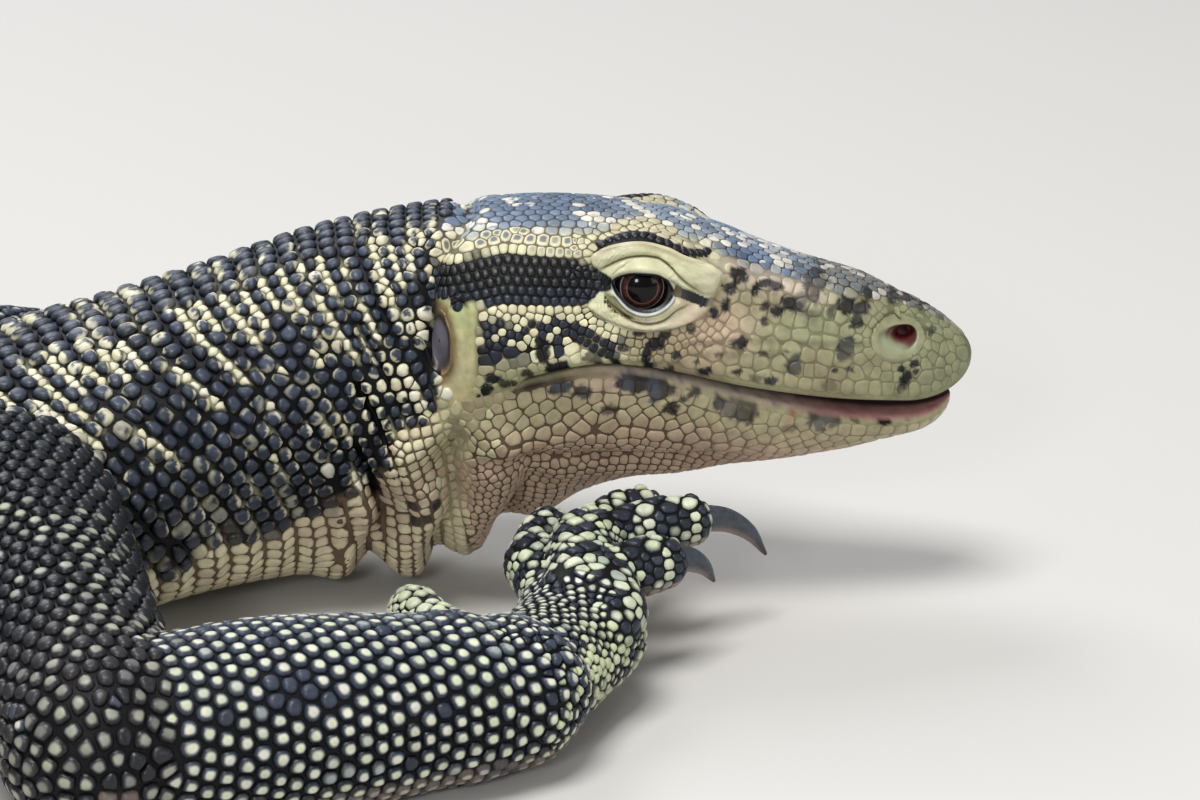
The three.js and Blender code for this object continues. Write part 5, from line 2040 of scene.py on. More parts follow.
    def lay_head(self, kind: Kind, at: tuple[Array, Array], pitch: Callable[..., Array], jitter: float,
                 mask: Callable[..., Array] | None = None, piece: str = "scales_head",
                 detail: Detail = Detail.FACE, phase: float = 0.0) -> None:
        """Lays scales over the head's upper tube, in the head's colours.

        Args:
            kind: Their kind.
            at: Places (s, t) along the rows.
            pitch: Function of (s, t) that gives the spacing.
            jitter: Random shift as a share of the pitch.
            mask: Function of (s, t, points) that says which to keep.
            piece: The scale piece they belong to.
            detail: How finely they are cut.
            phase: Where along the rows the count starts, in steps.
        """
        self.lay(piece, kind, *at, self.head_point, pitch, self.head_tint, self.head_uv, jitter, detail,
                 mask=mask, phase=phase)

    def over_lip(self, back: Array, rise: float) -> Array:
        """Height of a line `rise` above the mouth, which climbs towards the ear."""
        return self.form.middle(back) + rise + 0.14 * (back - 66)

    def head_rows(self) -> None:
        """The head: openings first, then the crown, and then the rows of each side."""
        for hand in (-1.0, 1.0):
            self.bare_edges(hand)
            self.opening_rows(hand)
        self.crown_rows()
        for hand in (-1.0, 1.0):
            self.temple_rows(hand)
            self.lid_rows(hand)
            self.cheek_rows(hand)
            self.snout_rows(hand)
            self.corner_rows(hand)

    def bare_edges(self, hand: float) -> None:
        """Bare places just inside lids, nostril and ear and along the lip, where scales stop."""
        turn = np.linspace(0, 2 * math.pi, 60, endpoint=False)
        deg = np.degrees(turn)
        edge = LIDS.outer(np.where(deg > 335, deg - 360, deg)) - 0.7
        lip = np.linspace(3, 89, 100)
        for back, z, pitch in (
                (LIDS.back - edge * np.cos(turn), LIDS.high + edge * np.sin(turn), 1.6),
                (NOSTRIL[0] + 4.4 * np.cos(turn), NOSTRIL[1] + 3.3 * np.sin(turn), 2.0),
                (lip, self.form.middle(lip) + 0.9, 1.0),
                (np.full(16, 98.6), np.linspace(45, 65, 16), 1.6)):
            self.hold_back(*self.spot(back, z, hand), self.head_point, pitch)

    def opening_rows(self, hand: float) -> None:
        """The arc of black beads over the eye, rings about the nostril, and the mouth's closed corner."""
        arc = np.radians(np.linspace(19, 139, 220))[None, :]
        out = LIDS.outer(np.degrees(arc)) + 0.3
        s, t = self.spot(LIDS.back - out * np.cos(arc), LIDS.high + out * np.sin(arc), hand)
        self.lay("scales_head", Kind.BEAD, s, t - 0.045 * hand, self.head_point, even(1.75), self.black_tint,
                 self.head_uv, 0.06, Detail.FACE)
        turn = np.linspace(-math.pi, math.pi, 300)[None, :] * np.ones((2, 1))
        out = np.array([[1.15], [2.9]])
        back, z = NOSTRIL[0] - (5.1 + out) * np.cos(turn), NOSTRIL[1] + (3.9 + out) * np.sin(turn)

        def side(s: Array, t: Array, p: Array) -> Array:
            """Over the lip's tall scales and below the crown."""
            back, z = self.back_of(p), p[..., 2]
            return self.openings(p) & (z <= self.markings.brow(back)) & (z > self.form.middle(back) + 4.5)

        self.lay_head(Kind.TILE, self.spot(back, z, hand), even(2.1), 0.16, side, "scales_snout")
        s = np.linspace(89.5, 98, 120)[None, :]
        self.lay_head(Kind.TILE, self.spot(s, self.form.middle(s) + 0.5, hand), even(2.0), 0.08)

    def crown_rows(self) -> None:
        """The crown: lengthwise rows of plates from the top of the snout to the nape."""
        along = np.linspace(3.5, 108, 900)
        sides = np.arange(-15, 16) * 1.0
        width = np.interp(along, [0, 20, 60, 108], [1.6, 1.9, 2.1, 2.3])[None, :]
        s = along[None, :] * np.ones((len(sides), 1))

        def crown(s: Array, t: Array, p: Array) -> Array:
            """Above the brows and ahead of the head's rear edge."""
            back, z = self.back_of(p), p[..., 2]
            rear = np.interp(z, [62, 72, 78], [107, 105.5, 101.5])
            return (z > self.markings.brow(back) - 0.2) & self.openings(p) & (back < rear)

        self.lay_head(Kind.PLATE, (s, self.t_of_side(s, sides[:, None] * width)),
                      lambda s, t: np.interp(s, [0, 20, 60, 108], [1.9, 2.2, 2.4, 2.6]), 0.2, crown)

    def temple_rows(self, hand: float) -> None:
        """The temple: level rows of small beads under one row of larger ones."""

        def temple(s: Array, t: Array, p: Array) -> Array:
            """Between the eye and the head's rear edge, over the cheek."""
            back, z = self.back_of(p), p[..., 2]
            inside = (back > 76) & (back < 106.4) & (z > np.interp(back, [76, 104], [62.6, 64]))
            return inside & self.openings(p, 0.2)

        for heights, kind, pitch in ((np.array([0.0]), Kind.PLATE, 2.5),
                                     (np.arange(-12.9, -1.4, 1.60), Kind.BEAD, 1.8)):
            s = np.linspace(70, 109, 300)[None, :] * np.ones((len(heights), 1))
            z = heights[:, None] + np.interp(s, [70, 78, 92, 104, 109], [74.6, 74.6, 75.4, 72.6, 70.5])
            self.lay_head(kind, self.spot(s, z, hand), even(pitch), 0.08, temple)

    def lid_rows(self, hand: float) -> None:
        """Rings of small scales about the lids."""
        turn = np.linspace(-math.pi, math.pi, 500)[None, :]
        deg = np.degrees(turn)
        out = LIDS.outer(np.where(deg < -25, deg + 360, deg)) + 0.9 + 1.6 * np.arange(0, 4)[:, None]

        def around(s: Array, t: Array, p: Array) -> Array:
            """Near the lids, above and below them and behind, and below the crown."""
            back, z = self.back_of(p), p[..., 2]
            near = (back > 49) & (back < 79) & ((z < 60.5) | (z > 70) | (back > 70))
            return (z <= self.markings.brow(back) + 0.6) & self.openings(p) & near

        back, z = LIDS.back - out * np.cos(turn), LIDS.high + out * np.sin(turn)
        self.lay_head(Kind.SQUARE, self.spot(back, z, hand),
                      lambda s, t: np.interp(s, [46, 56, 74], [2.1, 1.7, 1.6]), 0.16, around)

    def cheek_rows(self, hand: float) -> None:
        """The cheek: rows that slant down and back."""
        count = np.arange(-32, 33)[:, None] * 1.42
        run = np.linspace(-40, 40, 400)[None, :]
        lean = math.radians(42)
        back = 86 + run * math.cos(lean) + count * math.sin(lean)
        z = 58 - run * math.sin(lean) + count * math.cos(lean)

        def cheek(s: Array, t: Array, p: Array) -> Array:
            """Behind the eye and below the temple, over the lip's rows."""
            back, z = self.back_of(p), p[..., 2]
            inside = (back > 69) & (back < 97.2) & (s > 31) & (s < 109)
            below = z < np.interp(back, [60, 77, 104], [57, 62.8, 64.5])
            return inside & below & self.openings(p) & (z > self.over_lip(back, 4.4))

        self.lay_head(Kind.SQUARE, self.spot(np.clip(back, 30, 110), z, hand), even(1.75), 0.09, cheek)

    def snout_rows(self, hand: float) -> None:
        """Lip and snout: rows that follow the mouth line, tall ones above the lip, plates over them."""
        # Each row's height over the mouth, and its spacing.
        heights = ((3.0, 3.0), (6.0, 3.3), (9.0, 3.5), (12.1, 3.4), (15.1, 3.1), (17.8, 2.8), (20.4, 2.5),
                   (22.8, 2.3))
        s = np.linspace(2.6, 99, 700)[None, :]
        fit = np.interp(s, [0, 14, 40, 62, 99], [0.62, 0.82, 1.0, 0.86, 0.72])

        def snout(s: Array, t: Array, p: Array) -> Array:
            """Below the crown, and behind the eye only next to the lip."""
            back, z = self.back_of(p), p[..., 2]
            clear = (back < 70) | (z < self.over_lip(back, 6.4))
            return (z <= self.markings.brow(back)) & self.openings(p) & clear

        for k, (low, size) in enumerate(heights):

            def pitch(s: Array, t: Array, size: float = size) -> Array:
                """Spacing along the row, tighter at the nose and under the eye."""
                return size * np.interp(s, [0, 14, 45, 64, 76], [0.7, 0.9, 1.0, 0.9, 0.7])

            z = self.form.middle(s) + low * fit
            self.lay_head(Kind.TILE if k < 5 else Kind.PLATE, self.spot(s, z, hand), pitch, 0.24 if k else 0.08,
                          snout, "scales_snout", phase=0.37 * k)

    def corner_rows(self, hand: float) -> None:
        """Five short rows under the ear, over the jaw's corner."""
        s = np.linspace(94, 112, 160)[None, :] * np.ones((5, 1))
        z = np.arange(5)[:, None] * 2.3 + 36 + 0 * s

        def corner(s: Array, t: Array, p: Array) -> Array:
            """Between the throat and the ear's rim."""
            back, z = self.back_of(p), p[..., 2]
            return (z > 38) & (z < 44) & (back > 96) & (back < 104)

        self.lay_head(Kind.SQUARE, self.spot(s, z, hand), even(2.3), 0.1, corner, detail=Detail.NEAR)

    def jaw_rows(self) -> None:
        """The lower jaw and chin: plates below a smooth lip, and small squares on the throat."""

        def point(s: Array, t: Array) -> Array:
            """The finished skin of the lower jaw."""
            return self.relief.surface(s, t, lower=True)[0]

        def ahead(s: Array, t: Array, p: Array) -> Array:
            """Ahead of the neck's folds."""
            return self.back_of(p) < np.interp(p[..., 2], [0, 20, 38, 50], [97, 99.5, 103, 100])

        s = np.linspace(4.8, 112, 700)
        table_t = np.linspace(math.pi / 2, math.pi, 120)
        steps = np.linalg.norm(np.diff(point(s[:, None], table_t[None, :]), axis=1), axis=2)
        arc = np.concatenate([np.zeros((len(s), 1)), np.cumsum(steps, axis=1)], axis=1)
        for hand in (-1.0, 1.0):
            lip = s[::6][s[::6] < 89.5]
            self.hold_back(lip, hand * np.full(len(lip), math.pi / 2 - 0.02), point, 1.0)
            rear = (s > 89.5) & (s < 99)
            t = np.array([np.interp(0.8, a, table_t) for a in arc[rear]])
            self.lay("scales_jaw", Kind.TILE, s[rear][None, :], hand * t[None, :], point, even(2.0),
                     self.jaw_tint, self.head_uv, 0.08, Detail.FACE)
            depth, k = 2.7, 0
            while depth < arc.max():
                t = np.array([np.interp(min(depth, a[-1]), a, table_t) for a in arc])
                inside = depth < arc[:, -1] - 0.4
                size = 2.9 if k == 0 else (2.35 if depth < 14 else 2.1)
                longer = 1.1 if k == 0 else (1.5 if depth < 13 else 1.1)
                kind = Kind.TILE if depth < 8 else (Kind.PLATE if depth < 15 else Kind.SQUARE)

                def pitch(s: Array, t: Array, size: float = size, longer: float = longer) -> Array:
                    """Spacing along the jaw."""
                    return size * longer * np.interp(s, [0, 20, 60, 112], [0.75, 0.9, 0.95, 0.85])

                if inside.sum() > 20:
                    self.lay("scales_jaw", kind, s[inside][None, :], hand * t[inside][None, :], point, pitch,
                             self.jaw_tint, self.head_uv, 0.14, Detail.FACE if depth < 20 else Detail.NEAR,
                             phase=0.5 * (k % 2) + 0.1, mask=ahead)
                depth += size * (0.80 if k else 0.9)
                k += 1

    def fill_corner(self) -> None:
        """Small squares where the jaw, the neck and the ear's rim meet, wherever no other row reached."""
        for hand in (-1.0, 1.0):
            z = np.arange(28, 46.5, 1.9)[:, None]
            back = np.linspace(93, 109, 90)[None, :] + 0 * z

            def point(back: Array, z: Array, hand: float = hand) -> Array:
                """The skin seen from the side."""
                return self.skin.from_side(back, z, hand)

            def uv(back: Array, z: Array, hand: float = hand) -> Array:
                """The unwrapped head's side."""
                return np.stack([0.02 + 0.96 * back / 125, 0.5 + 0.3 * hand * (1 - z / 100)], axis=-1)

            self.lay("scales_head", Kind.THROAT, back, z + 0 * back, point, even(2.0), self.cream_tint, uv,
                     0.1, Detail.NEAR, mask=lambda s, t, p: self.openings(p), clear=0.68)

    def leg_rows(self) -> None:
        """Rows round each limb and across each digit."""
        # How far apart the rows of each length are, and the scales in a row.
        spacing = {"digit": (2.2, 2.4), "palm": (2.1, 2.2), "upper": (3.5, 3.7), "lower": (3.1, 3.4)}
        for leg in self.legs:
            for slot, (name, bar) in enumerate(leg.bars().items()):
                length = name.split("_")[0]
                digit = length == "digit"
                row, size = spacing[length]
                ends = [0.5 * math.pi * min(bar.curves[3](at), bar.curves[4](at)) for at in (0.0, bar.length)]
                t = np.arange(-0.95 * ends[0], bar.length + 0.97 * ends[1], row)
                angle = np.linspace(-math.pi, math.pi, 241)[None, :] * np.ones((len(t), 1))

                def pitch(t: Array, angle: Array, size: float = size, digit: bool = digit) -> Array:
                    """Spacing round the bar; wide plates along the top of a digit."""
                    wide = 1 + (1.1 * (1 - ease(np.abs(angle), 0.45, 0.8)) if digit else 0 * angle)
                    return size * wide + 0 * t

                def tint(at: ScalePoints, bar: Bar = bar, name: str = name, leg: Leg = leg) -> Array:
                    """Leg colours."""
                    return self.markings.leg(leg, name, bar, at.s, at.t, at.p, at.core, at.root)

                def uv(t: Array, angle: Array, bar: Bar = bar, slot: int = slot) -> Array:
                    """The unwrapped bar in its own strip, one of eight."""
                    along = np.clip((t + 30) / (bar.length + 60), 0, 1)
                    return np.stack([(slot + 0.08 + 0.84 * along) / 8, 0.5 + 0.48 * angle / math.pi], axis=-1)

                self.lay(f"scales_{leg.pair[2]}_{leg.name}", Kind.SQUARE if digit else Kind.BUMP,
                         t[:, None] * np.ones_like(angle), angle, bar.over_ends, pitch, tint, uv,
                         0.2 if name == "palm" else 0.13, Detail.NEAR if leg.fine else Detail.FAR, near=2.0)

    # -- cutting

    def outlines(self, batch: Batch, corners: int, everyone: Array, radii: Array, tree: KDTree) -> Array:
        """Distance from each scale's root to its rim, in each direction.

        Towards a neighbour at d the rim lies w |d|^2 / (d . u) away, with w the root's share of their pitches.
        The least of these is softened as (sum r^-k)^(-1/k), which rounds the corners, and the gap is taken off.

        Args:
            batch: The scales.
            corners: Corners of each outline.
            everyone: Roots of all scales.
            radii: Spacings of all scales.
            tree: Search tree of all roots.

        Returns:
            Radii, (scales, corners).
        """
        p, n, along, pitch, cut = batch.p, batch.n, batch.along, batch.pitch, batch.kind.value
        near = [[(j, d) for _, j, d in tree.find_n(c, 13)] for c in p.tolist()]
        index = np.array([[j for j, _ in row] for row in near])
        apart = np.array([[d for _, d in row] for row in near])
        d = everyone[index] - p[:, None, :]
        d = d - n[:, None, :] * (d * n[:, None, :]).sum(-1, keepdims=True)
        size = np.linalg.norm(d, axis=-1)
        w = pitch[:, None] / (pitch[:, None] + radii[index])
        over = np.cross(n, along)
        angle = np.linspace(0, 2 * math.pi, corners, endpoint=False)
        u = along[:, None, :] * np.cos(angle)[None, :, None] + over[:, None, :] * np.sin(angle)[None, :, None]
        dot = np.einsum("nkc,nmc->nkm", d, u)
        ok = (dot > 0.05) & (apart[:, :, None] > 0.05) & (size[:, :, None] > 0.3 * apart[:, :, None])
        r = np.where(ok, w[:, :, None] * (size ** 2)[:, :, None] / np.maximum(dot, 0.05), 1e3)
        total = (1 / r ** cut.corner).sum(1) + 1 / (cut.reach * pitch)[:, None] ** cut.corner
        soft = total ** (-1 / cut.corner) - (cut.gap * pitch)[:, None] * 0.5
        return np.maximum(soft, 0.12 * pitch[:, None])

    def cut_batch(self, batch: Batch, everyone: Array, radii: Array, tree: KDTree) -> Block:
        """Cuts one lattice's scales: rings between the root and the rim, raised in shares of the height.

        Args:
            batch: The scales.
            everyone: Roots of all scales.
            radii: Spacings of all scales.
            tree: Search tree of all roots.

        Returns:
            The cut scales.
        """
        corners, kept, laid = batch.detail.value
        cut = batch.kind.value
        r = self.outlines(batch, corners, everyone, radii, tree)
        angle = np.linspace(0, 2 * math.pi, corners, endpoint=False)
        over = np.cross(batch.n, batch.along)
        ways = (batch.along[:, None, :] * np.cos(angle)[None, :, None]
                + over[:, None, :] * np.sin(angle)[None, :, None])
        rim = batch.p[:, None, :] + ways * r[..., None]
        flat = rim.reshape(-1, 3)
        snapped, _, moved = self.snap(flat)
        snapped[moved > 1.2] = flat[moved > 1.2]
        rim = snapped.reshape(rim.shape)
        high = (cut.height * batch.pitch)[:, None]
        one = np.ones_like(r)
        points, fields = [], []
        for share, rise in (cut.rings[i] for i in kept):
            ring = batch.p[:, None, :] * (1 - share) + rim * share
            if laid and share < 1:
                low, _, moved = self.snap(ring.reshape(-1, 3))
                ring = np.where((moved < 1.0)[:, None], low, ring.reshape(-1, 3)).reshape(ring.shape)
            points.append(ring + batch.n[:, None, :] * (high * rise)[..., None])
            fields.append(np.stack([one * (1 - share), r * share * np.cos(angle), r * share * np.sin(angle),
                                    np.sin(angle) * one, -np.cos(angle) * one]))
        points.append((batch.p + batch.n * high)[:, None, :])
        crown = np.zeros((len(fields[0]), len(batch.p), 1))
        crown[0] = 1.0
        core, x, y, turn, way = np.concatenate(fields + [crown], axis=2)
        block = np.concatenate(points, axis=1)
        places = {key: value[:, None] + 0 * x for key, value in batch.data.items()}
        root = block[:, -1:, :] * np.ones((1, block.shape[1], 1))
        hue = batch.tint(ScalePoints(**places, p=block, root=root, core=np.clip(core * 1.6, 0, 1), x=x, y=y,
                                     turn=turn, way=way))
        block[..., 2] = np.maximum(block[..., 2], SCALE_CLEAR)
        widest = np.maximum(np.abs(r).max(1), 0.1)[:, None, None]
        uv = batch.uv[:, None, :] + 0.0015 * np.stack([x, y], axis=-1) / widest
        return Block(block, hue, uv, corners)

    def build(self) -> list[bpy.types.Object]:
        """Lays, thins and cuts all scales and makes their pieces.

        Returns:
            The pieces.
        """
        self.head_rows()
        self.jaw_rows()
        self.body_rows()
        self.fill_corner()
        self.leg_rows()
        self.thin_out()
        log.info("scales: %d", sum(len(b.p) for b in self.batches))
        everyone = np.vstack([b.p for b in self.batches] + [p for p, _ in self.bounds])
        radii = np.concatenate([b.pitch for b in self.batches] + [r for _, r in self.bounds])
        tree = point_tree(everyone)
        pieces: dict[str, list[Block]] = {}
        for batch in self.batches:
            if len(batch.p):
                pieces.setdefault(batch.piece, []).append(self.cut_batch(batch, everyone, radii, tree))
        return [self.mesh_of(f"{name}_{i + 1}", part)
                for name, blocks in pieces.items() for i, part in enumerate(self.share_out(blocks))]

    @staticmethod
    def share_out(blocks: list[Block]) -> list[list[Block]]:
        """Parts the scales of one piece so that each mesh stays under the limit of triangles."""
        parts: list[list[Block]] = [[]]
        room = PIECE_LIMIT
        for block in blocks:
            each, start, count = block.triangles, 0, len(block.points)
            while start < count:
                take = min(count - start, room // each)
                if take <= 0:
                    parts.append([])
                    room = PIECE_LIMIT
                    continue
                parts[-1].append(block.part(start, take))
                room -= take * each
                start += take
        return parts

    def mesh_of(self, name: str, part: list[Block]) -> bpy.types.Object:
        """Joins scales into one mesh, each closed by a fan on its crown and one face below.

        Args:
            name: The piece's name.
            part: The scales.

        Returns:
            The piece.
        """
        quads, tris, caps = [], [], {}
        base = 0
        for block in part:
            count, size = block.points.shape[:2]
            m, last = block.corners, (block.rings - 1) * block.corners
            root = base + np.arange(count)[:, None] * size
            j = np.arange(m)[None, :]
            k = (j + 1) % m
            quads.append((root[:, :, None] + ring_quads(block.rings, m)[None]).reshape(-1, 4))
            fan = [root + last + j, root + last + k, root + size - 1 + 0 * j]
            tris.append(np.stack(fan, axis=-1).reshape(-1, 3))
            caps.setdefault(m, []).append(root + np.arange(m)[::-1][None, :])
            base += count * size
        verts = np.vstack([block.points.reshape(-1, 3) for block in part])
        hue = np.vstack([block.hue.reshape(-1, 3) for block in part])
        uv = np.vstack([block.uv.reshape(-1, 2) for block in part])
        return add_mesh(name, self.place.world(verts), np.vstack(quads), np.vstack(tris), hue, uv,
                        [np.vstack(c) for c in caps.values()])


# ---------------------------------------------------------------- eyes, ears, nostrils, claws


class Face:
    """Fine pieces set into the skin of the head: lids, eyeballs, nostrils and eardrums."""

    eye_back, eye_side, eye_high = EYE
    eye_radius = 6.4
    # Curves across the lids, as (forward, up) from the eye: margins, creases and the folds' outer edges.
    upper_edge = Knots(((-6.4, 1.2), (-5.1, 2.8), (-3.4, 3.7), (0, 3.95), (2.9, 3.4), (4.6, 2.2), (6.5, 1.0),
                        (8.6, 0.0), (10.2, -0.9), (11.8, -1.7)))
    upper_crease = Knots(((-8.6, 3.9), (-5.7, 5.4), (-4.3, 6.0), (-1.1, 6.6), (1.1, 6.55), (2.9, 6.15),
                          (5.1, 4.5), (7.1, 2.4), (9.4, 0.3), (11.4, -1.2)))
    upper_fold = Knots(((-12.3, 6.4), (-8.6, 7.1), (-4.3, 8.4), (0, 8.6), (4.3, 7.3), (8.6, 5.6), (12.9, 4.5),
                        (16.9, 4.1)))
    lower_edge = Knots(((-6.3, 1.3), (-4.9, -1.3), (-2.9, -3.2), (0, -4.2), (2.9, -3.7), (4.6, -2.4),
                        (5.7, -1.0), (7.1, -1.8), (8.9, -2.9), (11.0, -3.8)))
    lower_crease = Knots(((-7.1, -2.4), (-4.9, -4.2), (-2.9, -5.4), (0.6, -6.4), (4.0, -5.8), (6.6, -3.9),
                          (8.6, -3.2)))
    lower_fold = Knots(((-11.7, -2.5), (-7.1, -5.5), (-2.3, -7.4), (2.9, -7.9), (8.6, -7.0), (12.3, -4.8)))

    def __init__(self, skin: Skin, form: BodyForm, place: Place, markings: Markings) -> None:
        """Keeps what the pieces are set into."""
        self.skin, self.form, self.place, self.markings = skin, form, place, markings

    def side_at(self, back: Array, z: Array, hand: int) -> Array:
        """How far from the middle plane the skin lies, met by a level ray from the side.

        Args:
            back: Distances behind the snout tip.
            z: Heights.
            hand: -1 for the right side, 1 for the left.

        Returns:
            Distances from the middle plane.
        """
        return np.abs(self.skin.from_side(back, z, hand)[..., 1])

    def about(self, p: Array) -> Array:
        """The head's own colour at each place, as on the middle of a scale."""
        back = self.form.snout_x - p[..., 0]
        flat = np.full(back.shape, 1.0)
        return self.markings.head(back, flat * 1.2, p, flat, p)

    def sheet(self, name: str, back: Array, z: Array, side: Array, hand: int, hue: Array) -> bpy.types.Object:
        """A patch from grids of back, height and side, closed round its columns.

        Args:
            name: The piece's name.
            back: Distances behind the snout tip, (rings, columns).
            z: Heights.
            side: Distances from the middle plane.
            hand: -1 for the right side, 1 for the left.
            hue: Colours.

        Returns:
            The object.
        """
        p = np.stack([self.form.snout_x - back, side * hand, z], axis=-1)
        quads = ring_quads(*back.shape)
        if hand < 0:
            quads = quads[:, ::-1]
        return add_mesh(name, self.place.world(p.reshape(-1, 3)), quads, colour=hue.reshape(-1, 3))

    @staticmethod
    def roll(z: Array, low: Array, high: Array, tall: float, ends: Array) -> Array:
        """A rounded roll between two curves: tall (4 w (1 - w))^0.55, w the share of the way between them."""
        span = high - low
        w = (z - low) / np.where(np.abs(span) < 0.3, 0.3 * np.where(span < 0, -1, 1), span)
        return np.where((w > 0) & (w < 1), tall * np.clip(4 * w * (1 - w), 0, 1) ** 0.55, 0.0) * ends

    def lids(self, hand: int) -> bpy.types.Object:
        """The lids: folds that ring the eye, from the wet margin on the ball to the scales about it.

        Each place lies at radius inner + (outer - inner) share about the eye. The bare lid is a cone from the
        ball's cover at the margin to the skin. Two rolls above and two below stand on it, between curves that
        meet ahead of and behind the eye.

        Args:
            hand: -1 for the right side, 1 for the left.

        Returns:
            The piece.
        """
        turn = np.linspace(0, 2 * math.pi, 260, endpoint=False)[None, :]
        tucked = [-0.5, -0.3, -0.12]  # rings that turn in behind the margin
        share = np.concatenate([tucked, np.linspace(0, 1, 80)])[:, None]
        deg = np.degrees(turn)
        near = LIDS.inner(np.where(deg > 345, deg - 360, deg))
        far = LIDS.outer(np.where(deg > 330, deg - 360, deg)) + 0.55
        r = np.where(share < 0, near + 1.3 * share, near + (far - near) * share)
        x, z = r * np.cos(turn), r * np.sin(turn)
        back, high = self.eye_back - x, self.eye_high + z
        ball = (self.eye_radius + 0.25) ** 2
        cover = self.eye_side + np.sqrt(np.maximum(ball - r * r, 6.0)) + 0.2
        first = self.eye_side + np.sqrt(np.maximum(ball - near * near, 6.0)) + 0.2
        reach = 1.24 / np.hypot(np.cos(turn) / 6.0, np.sin(turn) / 4.6)
        reach = np.maximum(reach, near + 0.8)
        meet = self.side_at(self.eye_back - reach * np.cos(turn), self.eye_high + reach * np.sin(turn), hand)
        skin = self.side_at(back[len(tucked):], high[len(tucked):], hand)
        skin = np.vstack([np.repeat(skin[:1], len(tucked), axis=0), skin])
        way = np.clip((r - near) / (reach - near), 0, 1)
        base = np.where(r < reach, first * (1 - way) + meet * way, skin)
        base = 0.5 * (base + cover + np.sqrt((base - cover) ** 2 + 0.04))
        e1, c1, f1 = self.upper_edge(x), self.upper_crease(x), self.upper_fold(x)
        e2, c2, f2 = self.lower_edge(x), self.lower_crease(x), self.lower_fold(x)
        middle = np.interp(x, [-6.4, 5.7, 12], [1.25, -0.6, -2.7])
        up = z > middle
        ends1 = ease(x, -8.6, -5.4) * (1 - ease(x, 8, 11.6))
        rolls = self.roll(z, e1, c1, 1.15, ends1) * up
        rolls += self.roll(z, c1, f1, 0.95, ease(x, -12.5, -9) * (1 - ease(x, 12, 15))) * up
        rolls += self.roll(z, e2, c2, 1.0, ease(x, -8.0, -5.4) * (1 - ease(x, 6.4, 9))) * ~up
        rolls += self.roll(z, c2, f2, 0.75, ease(x, -12.5, -9) * (1 - ease(x, 9.5, 13))) * ~up
        inner = ease(share, 0.35, 0.5) * (1 - ease(share, 0.85, 0.95))
        fine = 0.05 * np.sin((r - 0.16 * x) * 2 * math.pi / 0.72) * inner * hump(x, -9, 4)
        flat = np.stack([x, z, 0 * x], axis=-1)
        grain = 0.10 * Mottle(0.9, 71)(flat * np.array([0.5, 1.3, 1])) + 0.05 * Mottle(0.5, 72)(flat)
        fine += grain * inner
        side = base + rolls + fine + 0.12 - 0.72 * ease(share, 0.93, 1.0)
        side -= 0.95 * ease(-share, 0.0, 0.5)
        p = np.stack([self.form.snout_x - back, side * hand, high], axis=-1)
        n = Mottle(1.5, 33)(p)
        hue = blend(np.ones(p.shape) * srgb(212, 211, 178), srgb(190, 190, 150), 0.5 + 0.5 * n)
        hue = blend(hue, srgb(216, 206, 178), (~up) * ease(-z, 3.5, 6.5) * 0.7)
        hue = blend(hue, srgb(212, 190, 166), (~up) * ease(x, 4, 9) * 0.7)
        hue = blend(hue, srgb(204, 196, 168), up * ease(x, 8, 13) * 0.6)
        # Painted shade: dark lines in the lids' creases and along their folds' outer edges.
        crease = hump(z, c1, 0.20) * up * ease(x, -9.5, -7) * (1 - ease(x, 9, 12))
        hue = blend(hue, srgb(92, 84, 48), crease * 0.9)
        hue = blend(hue, srgb(120, 108, 66), hump(z, f1, 0.30) * up * (1 - ease(x, 9, 13)) * 0.55)
        crease = hump(z, c2, 0.22) * ~up * ease(x, -8, -6) * (1 - ease(x, 7, 9))
        hue = blend(hue, srgb(104, 88, 58), crease * 0.85)
        hue = blend(hue, srgb(126, 108, 76), hump(z, f2, 0.28) * ~up * (1 - ease(x, 9, 12)) * 0.5)
        # Behind, where the folds thin out, the temple's band runs in to the corner; ahead, a dark streak.
        rear = ease(-x, 5.5, 6.6) * hump(z, 1.5 + 0.10 * (-x - 6), 1.15 + 0.34 * np.clip(-x - 6, 0, 9))
        gap = np.clip((z - e2) / np.maximum(e1 - e2, 0.2), 0, 1)
        fore = ease(x, 5.4, 6.4) * ease(gap, 0.0, 0.15) * (1 - ease(gap, 0.85, 1.0))
        fore = np.where(x > 0, fore * (1 - ease(x, 12.5, 14.5)), 0)
        hue = blend(hue, INK * 1.4, ease(rear + 0.16 * n, 0.45, 0.62))
        hue = blend(hue, blend(INK * 1.5 * np.ones(p.shape), srgb(84, 78, 84), hump(x, 6.6, 1.0) * 0.6),
                    ease(fore + 0.12 * n, 0.4, 0.6))
        q = r - near
        # Painted reflection: a pale bluish shine on the wet margin, strongest on the lower lid.
        wet = hump(q, 0.20, 0.12) * np.where(up, 0.2, 0.75) * (np.abs(x) < 6.4)
        hue = blend(hue, srgb(182, 194, 212), wet)
        hue = blend(hue, srgb(26, 28, 40), hump(q, 0.62, 0.14) * np.where(up, 0.15, 0.75) * (np.abs(x) < 6))
        # Painted shade on the rings that turn in behind the margin.
        hue = blend(hue, srgb(22, 22, 30), (1 - ease(q, -0.04, 0.08)))
        lower = ease(share, 0.80, 0.97)
        hue = blend(hue, self.about(p), lower * 0.8)
        return self.sheet("lids_" + Hand(hand).name.lower(), back, high, side, hand, hue)

    def eyeball(self, hand: int) -> bpy.types.Object:
        """The eye: a ball whose rings follow its axis, with a dark pupil, a brown iris and a pale rim.

        Args:
            hand: -1 for the right side, 1 for the left.

        Returns:
            The piece.
        """
        rings = ((1.2, 24, 14), (24.8, 28, 7), (29, 37, 11), (37.5, 45, 12), (46, 120, 20))
        polar = np.radians(np.concatenate([np.linspace(*ring) for ring in rings]))[:, None]
        around = np.linspace(0, 2 * math.pi, 96, endpoint=False)[None, :]
